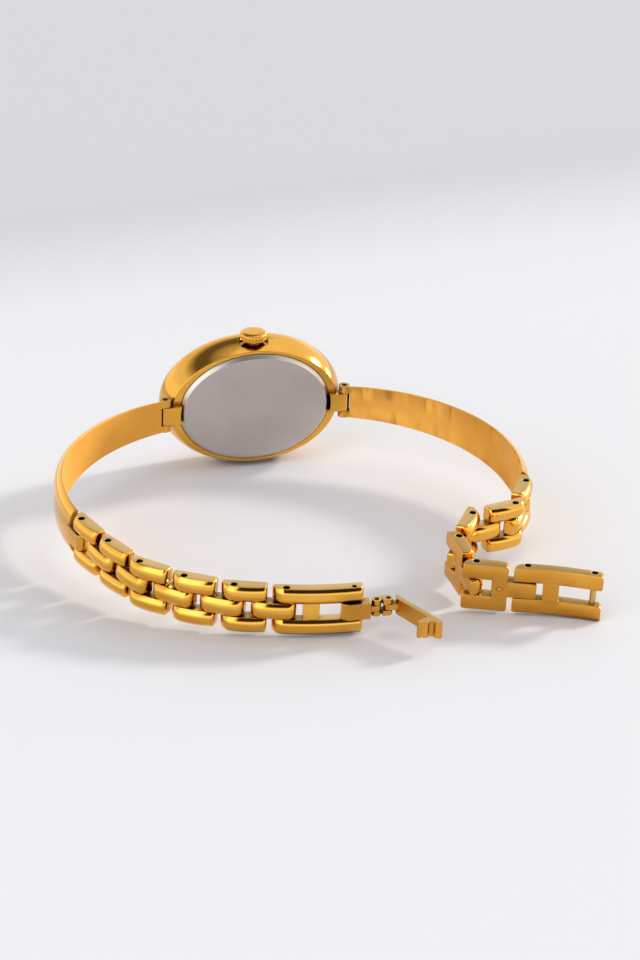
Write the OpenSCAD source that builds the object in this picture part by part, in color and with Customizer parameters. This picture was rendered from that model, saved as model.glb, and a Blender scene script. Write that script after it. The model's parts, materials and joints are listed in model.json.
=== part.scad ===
// Ladies' bangle wristwatch, clasp open, lying on the edge of its bracelet.
// X runs from 6 o'clock to 12 o'clock, +Y is the side that the dial faces, +Z is up.

/* [Case] */
// Half length of the oval case at its widest, along 12 to 6
case_half_l = 12.1; // [11.8:0.1:13]
// Half width of the oval case at its widest, along 3 to 9
case_half_w = 9.0; // [8.8:0.1:10]
// Height of the case side, from the seat of the back to the bezel edge
case_side_h = 5.4; // [5.2:0.1:6]
// How much smaller the case is at its lower edge
case_under = 1.0; // [0.8:0.05:1.1]
// How much smaller the case is at its bezel edge
bezel_in = 1.2; // [0.8:0.1:1.4]
// How far the flat of the back stands in from the case's widest, at 12 and 6
back_in_l = 2.55; // [2.3:0.05:2.8]
// How far the flat of the back stands in from the case's widest, at 3 and 9
back_in_w = 1.85; // [1.6:0.05:2.1]
// Width of the ledge under the rim of the back
back_ledge = 0.6; // [0.5:0.05:0.8]
// Thickness of the snap-on back
back_t = 0.7; // [0.6:0.1:0.9]
// Width of the shiny chamfer round the back
back_chamfer = 0.45; // [0.2:0.05:0.5]
// Thickness of the crystal at its edge
crystal_t = 0.8; // [0.6:0.1:1]
// Height of the crystal's dome above its edge
crystal_dome = 0.35; // [0.2:0.05:0.6]

/* [Lugs] */
// Width of the centre lug at 12 and at 6
lug_w = 2.5; // [2.2:0.1:2.6]
// Distance of each lug pin from the middle of the case
lug_pin_x = 12.0; // [12:0.05:12.4]
// Height of the lug pins over the flat of the back
lug_pin_y = 0.33; // [0.2:0.01:0.5]
// Radius of the lug's rounded end
lug_r = 0.72; // [0.65:0.01:0.8]
// Radius of a lug pin
lug_pin_r = 0.35; // [0.3:0.01:0.4]
// Open slot that shows between a lug's end and the strip
lug_slot = 0.7; // [0.3:0.05:0.8]

/* [Crown] */
// Radius of the crown over its teeth
crown_r = 1.75; // [1.5:0.05:1.8]
// Length of the crown
crown_l = 1.05; // [1:0.05:1.5]
// Gap between the case side at its widest and the crown's underside
crown_gap = 0.05; // [0.03:0.01:0.1]
// Depth of the round hollow in the case side under the crown
crown_well = 0.6; // [0.3:0.05:0.8]
// Grip teeth round the crown
crown_teeth = 24; // [16:2:30]
// Height of the stem over the flat of the back
stem_y = 2.4; // [2.3:0.05:2.5]
// Radius of the winding stem
stem_r = 0.3; // [0.25:0.01:0.35]
// How far the crown pulls out to set the hands
crown_pull = 0.8; // [0.6:0.1:1]

/* [Dial and hands] */
// Thickness of the dial
dial_t = 0.35; // [0.3:0.05:0.45]
// Length of the minute hand from its centre
minute_l = 5.4; // [4.6:0.1:5.6]
// Length of the hour hand from its centre
hour_l = 3.7; // [3.2:0.1:4.2]
// Width of the hands at their widest
hand_w = 0.8; // [0.5:0.05:0.9]

/* [Movement] */
// Width of the movement holder where it is narrowest
holder_w = 0.75; // [0.6:0.05:1]
// Thickness of the main plate
plate_t = 0.8; // [0.7:0.05:0.9]
// Radius of the battery
battery_r = 2.9; // [2.7:0.05:2.95]
// Thickness of the battery
battery_t = 1.6; // [1.4:0.05:1.65]
// Distance from one gear centre to the next
gear_reach = 2.3; // [2.1:0.05:2.35]

/* [Bangle strips] */
// Outer radius of the arc of each strip
strip_r = 23.7; // [23:0.1:24.5]
// Distance of each arc's centre from the middle of the case, along 12 to 6
strip_cx = 5.88; // [5.5:0.02:6.2]
// Thickness of the strips in the middle of their width
strip_t = 1.15; // [1:0.05:1.3]
// Width of a strip beside the case
strip_w = 4.5; // [4.2:0.1:5]
// Angle of the arc, measured from the dial's side, at which the link pin lies
strip_end_a = 110; // [106:1:112]
// Turn of the whole bangle on its two lug pins, as it lies
strip_lean = -1.0; // [-1.5:0.1:0.5]

/* [Links] */
// Distance from pin to pin along a link
pitch = 6.0; // [5.9:0.05:6.2]
// Width of the bracelet over the links
band_w = 6.0; // [5.8:0.1:6.4]
// Width of each outer rail of a link
rail_w = 1.92; // [1.8:0.02:2]
// Thickness of the links
link_t = 2.0; // [1.8:0.05:2.1]
// How far a rail reaches back past its own pin
rail_back = 1.5; // [1.3:0.05:1.6]
// Gap between one rail and the next along the bracelet
rail_gap = 0.66; // [0.6:0.02:0.8]
// Radius of the round end of a rail, at its own pin
nose_r = 1.3; // [0.9:0.05:1.4]
// Radius of the outer edge at a rail's far end
tail_r = 0.4; // [0.2:0.05:0.6]
// Distance from a link's own pin to the middle brick
brick_start = 1.95; // [1.85:0.05:2.1]
// How far the middle brick reaches past the next pin
brick_over = 1.2; // [1:0.05:1.25]
// Radius of the rise across each domed rail and brick
dome_r = 2.1; // [1.9:0.1:2.6]
// Radius of the rise along each domed rail and brick
dome_long_r = 11; // [9:0.5:16]
// Radius of a link pin
pin_r = 0.4; // [0.35:0.01:0.45]
// How far a link pin's ends lie below the side faces
pin_sunk = 0.3; // [0.2:0.05:0.5]

/* [End frames and clasp] */
// Distance between the two pins of an end frame
frame_reach = 7.8; // [7.6:0.1:8.4]
// How far a frame reaches past its end pin
frame_over = 1.08; // [1:0.02:1.3]
// Hollow of a frame's inner side, which follows the wrist
frame_hollow = 0.35; // [0.2:0.05:0.5]
// How far the frame's crossbar lies below the rails outside
crossbar_sunk = 0.45; // [0.2:0.05:0.6]
// Radius of the catch bar that the clasp snaps on to
catch_r = 0.38; // [0.35:0.01:0.42]
// Distance between the pins of the clasp block
block_reach = 2.7; // [2.6:0.05:3]
// Distance between the pins of the clasp's side plates
plates_reach = 1.4; // [1.3:0.05:1.6]
// Thickness of each side plate
side_plate_t = 0.62; // [0.56:0.02:0.66]
// Length of the lever from its pin to the end of its hook
lever_l = 7.8; // [7.5:0.1:7.9]
// Thickness of the lever
lever_t = 0.65; // [0.5:0.05:0.7]
// Distance of the lever's arm from the middle of its pin
lever_off = 0.95; // [0.9:0.01:1.1]
// Length of the foot at the lever's end that carries the snap groove
foot_l = 1.9; // [1.6:0.1:2.1]
// How far that foot stands out from the lever's inner side
foot_h = 1.65; // [1.3:0.05:1.8]
// Radius of the clasp pins
clasp_pin_r = 0.28; // [0.25:0.01:0.3]

/* [Clearances] */
// Gap round a pin in a piece that turns on it
turn_gap = 0.05; // [0.03:0.01:0.1]
// Gap round a pin in the piece that holds it
hold_gap = 0.015; // [0.01:0.005:0.02]
// Gap beside a brick or lug between the rails that hold its pin
side_gap = 0.05; // [0.04:0.01:0.08]
// Gap between the pieces in the case
seat_gap = 0.05; // [0.03:0.01:0.08]

/* [How it lies] */
// Headings of the five links and the end frame on the 6 o'clock side
heads_6 = [-69.1, -63, -43, -29.7, -17.9, -8.4]; // [-180:0.1:0]
// Headings of the five links and the end frame on the 12 o'clock side
heads_12 = [-120.5, -166.8, -122.7, -87.1, -20.6, -23]; // [-180:0.1:0]
// Heading of the clasp block
block_head = -1; // [-6:1:4]
// Heading of the clasp's side plates
plates_head = 0; // [-5:1:5]
// Heading of the clasp lever
lever_head = -62; // [-66:1:-58]
// Tilt of the bracelet, whose case side stands higher
tilt = 5.9; // [5.5:0.1:6.5]
// Shift that puts the middle of the lying watch over the origin, along X
shift_x = 0.4; // [-1:0.05:1]
// Shift that puts the middle of the lying watch over the origin, along Y
shift_y = 25.1; // [24:0.05:27]
// Lift that puts the lowest point on the floor
lift = 8.56; // [8:0.01:9.4]

/* [Hidden] */

// Facets of round parts, and a margin that lets a cut pass a face
$fn = 48;
cut = 0.2;

gold = [0.87, 0.63, 0.24];
polished_gold = [0.95, 0.72, 0.2];
steel = [0.69, 0.65, 0.62];

// Heights in the case, counted from the flat of the back
side_y0 = 0.5;
side_y1 = side_y0 + case_side_h;
back_half_l = case_half_l - back_in_l;
back_half_w = case_half_w - back_in_w;
chamber_l = back_half_l + back_chamfer - back_ledge;
chamber_w = back_half_w + back_chamfer - back_ledge;
crystal_l = case_half_l - bezel_in - 1.0;
crystal_w = case_half_w - bezel_in - 1.0;
gasket_w = 0.35;
gasket_t = 0.25;
rehaut = 0.7;
dial_y = side_y1 - crystal_t - rehaut - dial_t;
dial_l = chamber_l - seat_gap;
dial_w = chamber_w - seat_gap;
plate_r = chamber_w - seat_gap - holder_w;
plate_y = dial_y - plate_t;
bridge_t = 0.45;
bridge_y = back_t + 0.45;
bridge_w = 3.4;
battery_y = bridge_y - 0.1;
// Places on the main plate, as shares of its radius
battery_at = plate_r * [0.387, 0.339];
bridge_posts = plate_r * [[-0.84, -0.194], [-0.79, 0.355], [0.1, 0.84]];
coil_at = plate_r * [0.258, -0.43];
coil_y = plate_y - 0.82;
coil_l = 4.2;
coil_r = 0.5;

// Links: the free space between the rails and the brick in it
inner_w = band_w - 2 * rail_w;
brick_w = inner_w - 2 * side_gap;
rail_end = pitch - rail_back - rail_gap;
brick_end = pitch + brick_over;
strip_mid_r = strip_r - strip_t / 2;
lug_a = asin((lug_pin_x - strip_cx) / strip_mid_r);
strip_cy = lug_pin_y - strip_mid_r * cos(lug_a);
strip_pin = [strip_cx + strip_mid_r * sin(strip_end_a), strip_cy + strip_mid_r * cos(strip_end_a)];
solid_end_a = strip_end_a - 2 * asin((pitch - rail_end) / 2 / strip_mid_r);
tine_gap = lug_w / 2 + side_gap;
tongue_t = 1.5;
brick_r = link_t * 0.42;

// Teeth of the going train, and their heights in the movement
wheel_teeth = 48;
pinion_teeth = 8;
gear_mod = 2 * gear_reach / (wheel_teeth + pinion_teeth);
wheel_t = 0.16;
centre_t = 0.4;
centre_y = plate_y - 0.47;
third_y = plate_y - 1.52;
// Directions from the centre wheel to the third wheel, and from there to the rotor
third_dir = 220;
rotor_dir = 210;
third_at = gear_reach * [cos(third_dir), sin(third_dir)];
rotor_at = third_at + gear_reach * [cos(rotor_dir), sin(rotor_dir)];
arbor_r = 0.16;
magnet_r = 0.5;
tube_r = 0.32;
hour_tube_r = 0.62;
hand_t = 0.18;
hour_hand_y = dial_y + dial_t + 0.18;
minute_hand_y = hour_hand_y + hand_t + 0.12;

// Crown: where its underside lies, the end of the stem, and the tube that the stem passes
crown_z = case_half_w + crown_gap;
stem_in = plate_r - 1.6;
tube_out_r = 0.75;
tube_in_r = stem_r + 0.25;
tube_z0 = chamber_w + seat_gap;
tube_in = 0.35;
tube_z1 = crown_z + tube_in;
// Post of the setting lever, which slides in a slot of the main plate as far as the crown pulls out
post_r = 0.22;
post_x = 0.85;
post_z = stem_in - 0.19;
slot_r = post_r + turn_gap;

// Clasp: its width, the width of the tongues between the side plates, and the round ends
clasp_w = brick_w;
tongue_w = clasp_w - 2 * side_plate_t - 2 * side_gap;
block_r = clasp_pin_r + 0.5;
knuckle_r = clasp_pin_r + 0.27;
clasp_pin_l = clasp_w - 0.2;
groove_r = catch_r + turn_gap;

function along(p, len, head) = p + len * [cos(head), sin(head)];
// Each pin of a chain, from the strip's pin on
function chain(start, heads, count) =
  count == 0 ? start : along(chain(start, heads, count - 1), pitch, heads[count - 1]);
function turned(p, about, a) =
  about + [(p - about)[0] * cos(a) - (p - about)[1] * sin(a),
           (p - about)[0] * sin(a) + (p - about)[1] * cos(a)];
lug_6 = [-lug_pin_x, lug_pin_y];
lug_12 = [lug_pin_x, lug_pin_y];
start_6 = turned([-strip_pin[0], strip_pin[1]], lug_6, strip_lean);
start_12 = turned(strip_pin, lug_12, strip_lean);
clasp_at = along(chain(start_6, heads_6, 5), frame_reach, heads_6[5]);
plates_at = along(clasp_at, block_reach, block_head);
lever_at = along(plates_at, plates_reach, plates_head);

function oval(a, b, n = 60) = [for (i = [0:n - 1]) [a * cos(360 * i / n), b * sin(360 * i / n)]];

// The whole watch as it lies on the floor
module lying() {
  translate([shift_x, shift_y, lift]) rotate([tilt, 0, 0]) children();
}

// Case pieces are drawn with the back flat at z = 0, the dial up, 12 at +x and 3 at -y
module in_case() {
  lying() rotate([-90, 0, 0]) children();
}

// Pieces of the crown and stem, drawn along z with the crown outward
module on_stem() {
  in_case() translate([0, 0, stem_y]) rotate([90, 0, 0]) children();
}

// A solid through rings of as many points each, lowest first
module loft(rings) {
  n = len(rings[0]);
  m = len(rings);
  points = [for (r = rings) for (p = r) p];
  low = [for (i = [0:n - 1]) i];
  high = [for (i = [n - 1:-1:0]) (m - 1) * n + i];
  sides = [for (k = [0:m - 2]) for (i = [0:n - 1])
    let (a = k * n + i, b = k * n + (i + 1) % n) each [[a, b + n, b], [a, a + n, b + n]]];
  polyhedron(points = points, faces = concat([low, high], sides));
}

function at_height(outline, z) = [for (p = outline) [p[0], p[1], z]];

module oval_plate(a, b, t) {
  linear_extrude(height = t) polygon(oval(a, b));
}

// How far the case side stands in from its widest, at a share of its height
function side_in(s) = s < 0.62 ? case_under * pow(1 - s / 0.62, 2) : bezel_in * pow((s - 0.62) / 0.38, 2.2);

module lug(sign) {
  translate([sign * lug_pin_x, 0, lug_pin_y]) rotate([90, 0, 0]) cylinder(h = lug_w, r = lug_r, center = true);
  translate([sign * (lug_pin_x + back_half_l) / 2, 0, lug_pin_y])
    cube([lug_pin_x - back_half_l, lug_w, 2 * lug_r], center = true);
}

module knuckle_room(sign) {
  for (side = [-1, 1]) translate([sign * lug_pin_x, side * (tine_gap + strip_w) / 2, lug_pin_y])
    rotate([90, 0, 0]) cylinder(h = strip_w - tine_gap + cut, r = lug_r + 0.3, center = true);
}

module lug_bore(sign) {
  translate([sign * lug_pin_x, 0, lug_pin_y]) rotate([90, 0, 0])
    cylinder(h = lug_w + cut, r = lug_pin_r + turn_gap, center = true);
}

// Oval case side, open at the back and the front, with a ledge for the dial and the crystal
module case_middle() {
  steps = [for (s = [0, 0.12, 0.3, 0.62, 0.75, 0.86, 0.94, 1]) s];
  color(polished_gold) in_case() difference() {
    union() {
      difference() {
        loft([for (s = steps) at_height(oval(case_half_l - side_in(s), case_half_w - side_in(s)),
          side_y0 + s * case_side_h)]);
        for (sign = [-1, 1]) knuckle_room(sign);
      }
      for (sign = [-1, 1]) lug(sign);
    }
    translate([0, 0, -cut]) oval_plate(chamber_l, chamber_w, dial_y + dial_t + cut + seat_gap);
    translate([0, 0, -lug_r]) oval_plate(back_half_l + back_chamfer + seat_gap,
      back_half_w + back_chamfer + seat_gap, lug_r + back_t + gasket_t);
    oval_plate(crystal_l - 0.7, crystal_w - 0.7, side_y1 + cut);
    translate([0, 0, side_y1 - crystal_t]) oval_plate(crystal_l + gasket_w + 2 * seat_gap,
      crystal_w + gasket_w + 2 * seat_gap, crystal_t + cut);
    for (sign = [-1, 1]) lug_bore(sign);
    translate([0, 0, stem_y]) rotate([90, 0, 0]) cylinder(h = case_half_w + 1, r = tube_out_r + hold_gap);
    translate([0, crown_well - case_half_w, stem_y]) rotate([90, 0, 0]) cylinder(h = 2, r = crown_r + 0.15);
  }
}

// Snap-on back with a chamfered rim and a snap rib inside
module case_back() {
  color(steel) in_case() {
    loft([at_height(oval(back_half_l, back_half_w), 0),
      at_height(oval(back_half_l + back_chamfer, back_half_w + back_chamfer), back_chamfer),
      at_height(oval(back_half_l + back_chamfer, back_half_w + back_chamfer), back_t)]);
    translate([0, 0, back_t - 0.1]) difference() {
      oval_plate(chamber_l - seat_gap, chamber_w - seat_gap, 0.4);
      translate([0, 0, -cut]) oval_plate(chamber_l - 0.6, chamber_w - 0.6, 1);
    }
  }
}

module back_gasket() {
  color("dimgray") in_case() translate([0, 0, back_t + hold_gap]) difference() {
    oval_plate(back_half_l + back_chamfer - 0.05, back_half_w + back_chamfer - 0.05, gasket_t - 2 * hold_gap);
    translate([0, 0, -cut]) oval_plate(chamber_l + seat_gap, chamber_w + seat_gap, 1);
  }
}

// Mineral crystal with a low dome
module crystal() {
  color([0.8, 0.9, 0.95, 0.35]) in_case() translate([0, 0, side_y1 - crystal_t + seat_gap])
    loft([for (k = [0, 0.001, 0.35, 0.6, 0.8, 0.92])
      at_height(oval(crystal_l * sqrt(1 - k * k), crystal_w * sqrt(1 - k * k)),
        k == 0 ? 0 : crystal_t + crystal_dome * k)]);
}

module crystal_gasket() {
  color("white") in_case() translate([0, 0, side_y1 - crystal_t + seat_gap]) difference() {
    oval_plate(crystal_l + gasket_w, crystal_w + gasket_w, crystal_t - 2 * seat_gap);
    translate([0, 0, -cut]) oval_plate(crystal_l + seat_gap, crystal_w + seat_gap, crystal_t + 1);
  }
}

// Dial with twelve applied hour markers
module dial() {
  color("ivory") in_case() translate([0, 0, dial_y]) {
    difference() {
      oval_plate(dial_l, dial_w, dial_t);
      translate([0, 0, -cut]) cylinder(h = 1, r = hour_tube_r + turn_gap);
    }
    for (hour = [0:11]) {
      a = hour * 30;
      translate([(crystal_l - 1.9) * cos(a), (crystal_w - 1.9) * sin(a), dial_t - 0.02]) rotate([0, 0, a])
        translate([-0.4, -0.1, 0]) cube([0.8, 0.2, 0.12]);
    }
  }
}

module crown_tube() {
  color(gold) on_stem() translate([0, 0, tube_z0]) difference() {
    cylinder(h = tube_z1 - tube_z0, r = tube_out_r);
    translate([0, 0, -cut]) cylinder(h = tube_z1, r = stem_r + turn_gap);
    translate([0, 0, tube_z1 - tube_z0 - 0.5]) cylinder(h = 1, r = tube_in_r);
  }
}

module stem_gasket() {
  color("dimgray") on_stem() translate([0, 0, tube_z1 - 0.45]) difference() {
    cylinder(h = 0.35, r = tube_in_r - hold_gap);
    translate([0, 0, -cut]) cylinder(h = 1, r = stem_r + turn_gap);
  }
}

// Plastic ring that carries the round movement in the oval case
module movement_holder() {
  ring_h = dial_y - seat_gap - back_t - 0.5;
  color("gainsboro") in_case() translate([0, 0, back_t + 0.5]) difference() {
    oval_plate(chamber_l - seat_gap, chamber_w - seat_gap, ring_h);
    translate([0, 0, -cut]) cylinder(h = ring_h + 1, r = plate_r + seat_gap);
    translate([0, 0, stem_y - back_t - 0.5]) rotate([90, 0, 0]) cylinder(h = case_half_w, r = stem_r + 0.3);
  }
}

module main_plate() {
  color("gold") in_case() translate([0, 0, plate_y]) difference() {
    cylinder(h = plate_t - seat_gap, r = plate_r);
    translate([0, 0, -cut]) cylinder(h = 2, r = tube_r + 0.12);
    translate([0, 0, plate_t - 0.4]) cylinder(h = 1, r = 1.75);
    for (y = [post_z, post_z + crown_pull]) translate([post_x, -y, -cut]) cylinder(h = 0.6, r = slot_r);
    translate([post_x - slot_r, -post_z - crown_pull, -cut]) cube([2 * slot_r, crown_pull, 0.6]);
    for (at = [third_at, rotor_at]) translate([at[0], at[1], -cut]) cylinder(h = 2, r = arbor_r + turn_gap);
  }
}

module train_bridge() {
  color("silver") in_case() {
    difference() {
      translate([0, 0, bridge_y]) intersection() {
        cylinder(h = bridge_t, r = plate_r - 0.1);
        translate([-plate_r - 1, -bridge_w, 0]) cube([plate_r + 2, plate_r + bridge_w, 2]);
      }
      translate([battery_at[0], battery_at[1], 0]) cylinder(h = 4, r = battery_r + 0.15);
      for (at = [[0, 0], third_at, rotor_at]) translate([at[0], at[1], 0])
        cylinder(h = 3, r = arbor_r + turn_gap);
    }
    for (at = bridge_posts) translate([at[0], at[1], bridge_y])
      cylinder(h = plate_y - bridge_y - seat_gap, r = 0.45);
  }
}

module battery() {
  color("lightgray") in_case() translate([battery_at[0], battery_at[1], battery_y]) {
    cylinder(h = battery_t, r = battery_r);
    translate([0, 0, -0.08]) cylinder(h = 0.2, r = battery_r - 0.5);
  }
}

module coil() {
  color("orangered") in_case() translate([coil_at[0], coil_at[1], coil_y]) rotate([0, 90, 0]) difference() {
    cylinder(h = coil_l, r = coil_r, center = true);
    cube([0.36, 0.56, coil_l + 1], center = true);
  }
}

// Thin stator: a core through the coil, a return arm beside it, and a ring round the rotor
module stator() {
  sheet_t = 0.24;
  core_w = 0.44;
  arm_y = coil_at[1] - 1.15;
  end_x = coil_at[0] + coil_l / 2 + 0.1;
  color("silver") in_case() translate([0, 0, coil_y - sheet_t / 2]) difference() {
    union() {
      translate([rotor_at[0], coil_at[1] - core_w / 2, 0]) cube([end_x - rotor_at[0], core_w, sheet_t]);
      translate([rotor_at[0], arm_y, 0]) cube([end_x - rotor_at[0], core_w, sheet_t]);
      translate([end_x, arm_y, 0]) cube([0.6, coil_at[1] - arm_y + core_w / 2, sheet_t]);
      translate([rotor_at[0], rotor_at[1], 0]) cylinder(h = sheet_t, r = 1.1);
    }
    translate([rotor_at[0], rotor_at[1], -cut]) cylinder(h = 1, r = magnet_r + 0.1);
  }
}

module circuit_board() {
  color("darkgreen") in_case() translate([0, 0, bridge_y]) difference() {
    intersection() {
      cylinder(h = 0.3, r = plate_r - 0.1);
      translate([1.2, -plate_r, 0]) cube([plate_r, plate_r, 2]);
    }
    translate([battery_at[0], battery_at[1], -1]) cylinder(h = 4, r = battery_r + 0.15);
    translate([0, 0, -1]) cylinder(h = 4, r = 1.0);
  }
}

// Spur gear with straight-sided teeth, one tooth along +x turned by a share of a tooth
module gear(teeth, t, phase = 0) {
  r = gear_mod * teeth / 2;
  root = r - gear_mod * 1.15;
  tip = r + gear_mod * 0.8;
  half = 90 / teeth;
  linear_extrude(height = t) union() {
    circle(r = root);
    for (k = [0:teeth - 1]) rotate([0, 0, (k + phase) * 360 / teeth])
      polygon([[root - 0.05, -root * sin(half * 1.15)], [tip, -tip * sin(half * 0.35)],
        [tip, tip * sin(half * 0.35)], [root - 0.05, root * sin(half * 1.15)]]);
  }
}

module centre_wheel() {
  color("khaki") in_case() {
    translate([0, 0, centre_y]) rotate([0, 0, third_dir]) gear(wheel_teeth, centre_t);
    translate([0, 0, bridge_y + 0.1]) cylinder(h = centre_y - bridge_y, r = arbor_r);
    translate([0, 0, centre_y]) cylinder(h = minute_hand_y - centre_y, r = tube_r);
  }
}

// Third wheel: its pinion meets the centre wheel, and its wheel meets the rotor's pinion
module third_wheel() {
  color("khaki") in_case() translate([third_at[0], third_at[1], 0]) {
    translate([0, 0, third_y]) rotate([0, 0, rotor_dir]) gear(wheel_teeth, wheel_t);
    translate([0, 0, third_y]) rotate([0, 0, third_dir + 180])
      gear(pinion_teeth, centre_y + centre_t - third_y, 0.5);
    translate([0, 0, bridge_y + 0.1]) cylinder(h = plate_y + plate_t - bridge_y - 0.3, r = arbor_r);
  }
}

module rotor() {
  color("slategray") in_case() translate([rotor_at[0], rotor_at[1], 0]) {
    translate([0, 0, third_y - 0.06]) rotate([0, 0, rotor_dir + 180]) gear(pinion_teeth, 0.3, 0.5);
    translate([0, 0, third_y + 0.24]) cylinder(h = 0.6, r = magnet_r);
    translate([0, 0, bridge_y + 0.1]) cylinder(h = plate_y + plate_t - bridge_y - 0.3, r = arbor_r);
  }
}

module hour_wheel() {
  color("khaki") in_case() difference() {
    union() {
      translate([0, 0, plate_y + plate_t - 0.35]) cylinder(h = 0.2, r = 1.6);
      translate([0, 0, plate_y + plate_t - 0.35])
        cylinder(h = hour_hand_y - plate_y - plate_t + 0.35, r = hour_tube_r);
    }
    cylinder(h = 9, r = tube_r + turn_gap);
  }
}

// Leaf-shaped hand along +x with its round boss
module hand_outline(len, boss_r) {
  circle(r = boss_r);
  polygon([[0, -hand_w * 0.3], [len * 0.45, -hand_w / 2], [len, 0], [len * 0.45, hand_w / 2], [0, hand_w * 0.3]]);
}

module minute_hand() {
  color(polished_gold) in_case() translate([0, 0, minute_hand_y]) rotate([0, 0, -60])
    linear_extrude(height = hand_t) hand_outline(minute_l, tube_r + 0.22);
}

module hour_hand() {
  color(polished_gold) in_case() translate([0, 0, hour_hand_y]) rotate([0, 0, 55])
    linear_extrude(height = hand_t) difference() {
      hand_outline(hour_l, hour_tube_r + 0.15);
      circle(r = tube_r + turn_gap);
    }
}

// Fluted crown with a domed end and a recess that covers the tube
module crown() {
  color(polished_gold) on_stem() translate([0, 0, crown_z]) difference() {
    rotate_extrude() polygon([[0, 0], [crown_r - 0.12, 0], [crown_r, 0.12], [crown_r, crown_l - 0.3],
      [crown_r - 0.3, crown_l - 0.06], [crown_r - 0.7, crown_l], [0, crown_l]]);
    for (k = [0:crown_teeth - 1]) rotate([0, 0, k * 360 / crown_teeth])
      translate([crown_r + 0.04, 0, -cut]) cylinder(h = crown_l + 1, r = 0.11, $fn = 16);
    translate([0, 0, -cut]) cylinder(h = tube_in + 0.1 + cut, r = tube_out_r + 0.12);
    translate([0, 0, -cut]) cylinder(h = crown_l - 0.25 + cut, r = stem_r);
  }
}

module winding_stem() {
  color("silver") on_stem() {
    translate([0, 0, stem_in]) cylinder(h = crown_z + crown_l - 0.3 - stem_in, r = stem_r - 0.01);
    translate([0, 0, stem_in - 0.35]) cylinder(h = 0.4, r = stem_r * 0.6);
    translate([0, 0, stem_in - 0.7]) cylinder(h = 0.4, r = stem_r - 0.01);
  }
}

// Lever that holds the stem in its groove
module setting_lever() {
  color("darkgray") on_stem() translate([0, 0, stem_in - 0.3]) difference() {
    union() {
      translate([-0.45, -0.5, 0]) cube([1.6, 0.95, 0.22]);
      translate([post_x, 0.4, 0.11]) rotate([-90, 0, 0]) cylinder(h = plate_y - stem_y - 0.1, r = post_r);
    }
    translate([0, 0, -cut]) cylinder(h = 1, r = stem_r * 0.6 + turn_gap);
    translate([-stem_r * 0.6 - turn_gap, -1, -cut]) cube([2 * (stem_r * 0.6 + turn_gap), 1, 1]);
  }
}

// Section of a strip, flat inside and domed outside, as distance from the arc's centre and height
function strip_ring(w) = let (n = 8) concat(
  [[strip_r - strip_t, -w / 2 + 0.15], [strip_r - 0.45, -w / 2]],
  [for (i = [0:n]) let (z = (i / n - 0.5) * (w - 0.1)) [strip_r - 0.3 * pow(abs(2 * z / w), 2.4), z]],
  [[strip_r - 0.45, w / 2], [strip_r - strip_t, w / 2 - 0.15]]);

function strip_width(a) = strip_w + (band_w - strip_w) * min(1, (a - lug_a) / (solid_end_a - lug_a) * 1.25);

module strip_arc() {
  n = 26;
  loft([for (k = [0:n]) let (a = lug_a + (solid_end_a - lug_a) * k / n)
    [for (p = strip_ring(strip_width(a))) [strip_cx + p[0] * sin(a), strip_cy + p[0] * cos(a), p[1]]]]);
}

// Rigid strip at 12 o'clock: fork for the lug, domed arc, and a tongue for the first link
module strip() {
  tail = strip_end_a - solid_end_a;
  difference() {
    union() {
      strip_arc();
      for (side = [-1, 1]) translate([lug_pin_x, lug_pin_y, side * (tine_gap + strip_w / 2) / 2])
        cylinder(h = strip_w / 2 - tine_gap, r = lug_r, center = true);
      translate([strip_cx, strip_cy, 0]) rotate([0, 0, 90 - strip_end_a])
        rotate_extrude(angle = tail + 1) translate([strip_mid_r, 0])
          square([tongue_t, brick_w], center = true);
      translate([strip_pin[0], strip_pin[1], 0]) cylinder(h = brick_w, r = tongue_t / 2 + 0.05, center = true);
    }
    translate([lug_pin_x, lug_pin_y, 0]) cylinder(h = 2 * tine_gap, r = lug_r + lug_slot, center = true);
    translate([lug_pin_x, lug_pin_y, 0]) cylinder(h = 2 * band_w, r = lug_pin_r + hold_gap, center = true);
    translate([strip_pin[0], strip_pin[1], 0]) cylinder(h = 2 * band_w, r = pin_r + turn_gap, center = true);
  }
}

module swung(lug_at) {
  translate([lug_at[0], lug_at[1], 0]) rotate([0, 0, strip_lean]) translate([-lug_at[0], -lug_at[1], 0]) children();
}
module bangle_12() {
  color(gold) lying() swung(lug_12) strip();
}
module bangle_6() {
  color(gold) lying() swung(lug_6) mirror([1, 0, 0]) strip();
}
module lug_pin(at) {
  color("silver") lying() translate([at[0], at[1], 0])
    cylinder(h = strip_w - 0.2, r = lug_pin_r, center = true);
}

// Side outline of a rail, brick or frame along x, its outside toward +y, rounded at both outer ends
module side_outline(x0, x1, long_r, end_r) {
  translate([0, -link_t / 2]) intersection() {
    union() {
      translate([x0 + end_r[0], 0]) square([x1 - x0 - end_r[0] - end_r[1], link_t]);
      translate([x0, 0]) square([end_r[0], link_t - end_r[0]]);
      translate([x1 - end_r[1], 0]) square([end_r[1], link_t - end_r[1]]);
      translate([x0 + end_r[0], link_t - end_r[0]]) circle(r = end_r[0]);
      translate([x1 - end_r[1], link_t - end_r[1]]) circle(r = end_r[1]);
    }
    translate([(x0 + x1) / 2, link_t - long_r]) circle(r = long_r, $fn = 180);
  }
}

// Bar from x0 to x1, domed along and across, its width centred on z = 0
module domed_bar(x0, x1, w, long_r, end_r) {
  intersection() {
    linear_extrude(height = w, center = true) side_outline(x0, x1, long_r, end_r);
    translate([(x0 + x1) / 2, link_t / 2 - dome_r, 0]) rotate([0, 90, 0])
      cylinder(h = x1 - x0 + 2, r = dome_r, center = true, $fn = 96);
  }
}

module both_rails(x0, x1, long_r) {
  for (side = [-1, 1]) translate([0, 0, side * (band_w - rail_w) / 2])
    domed_bar(x0, x1, rail_w, long_r, [nose_r, tail_r]);
}

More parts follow.
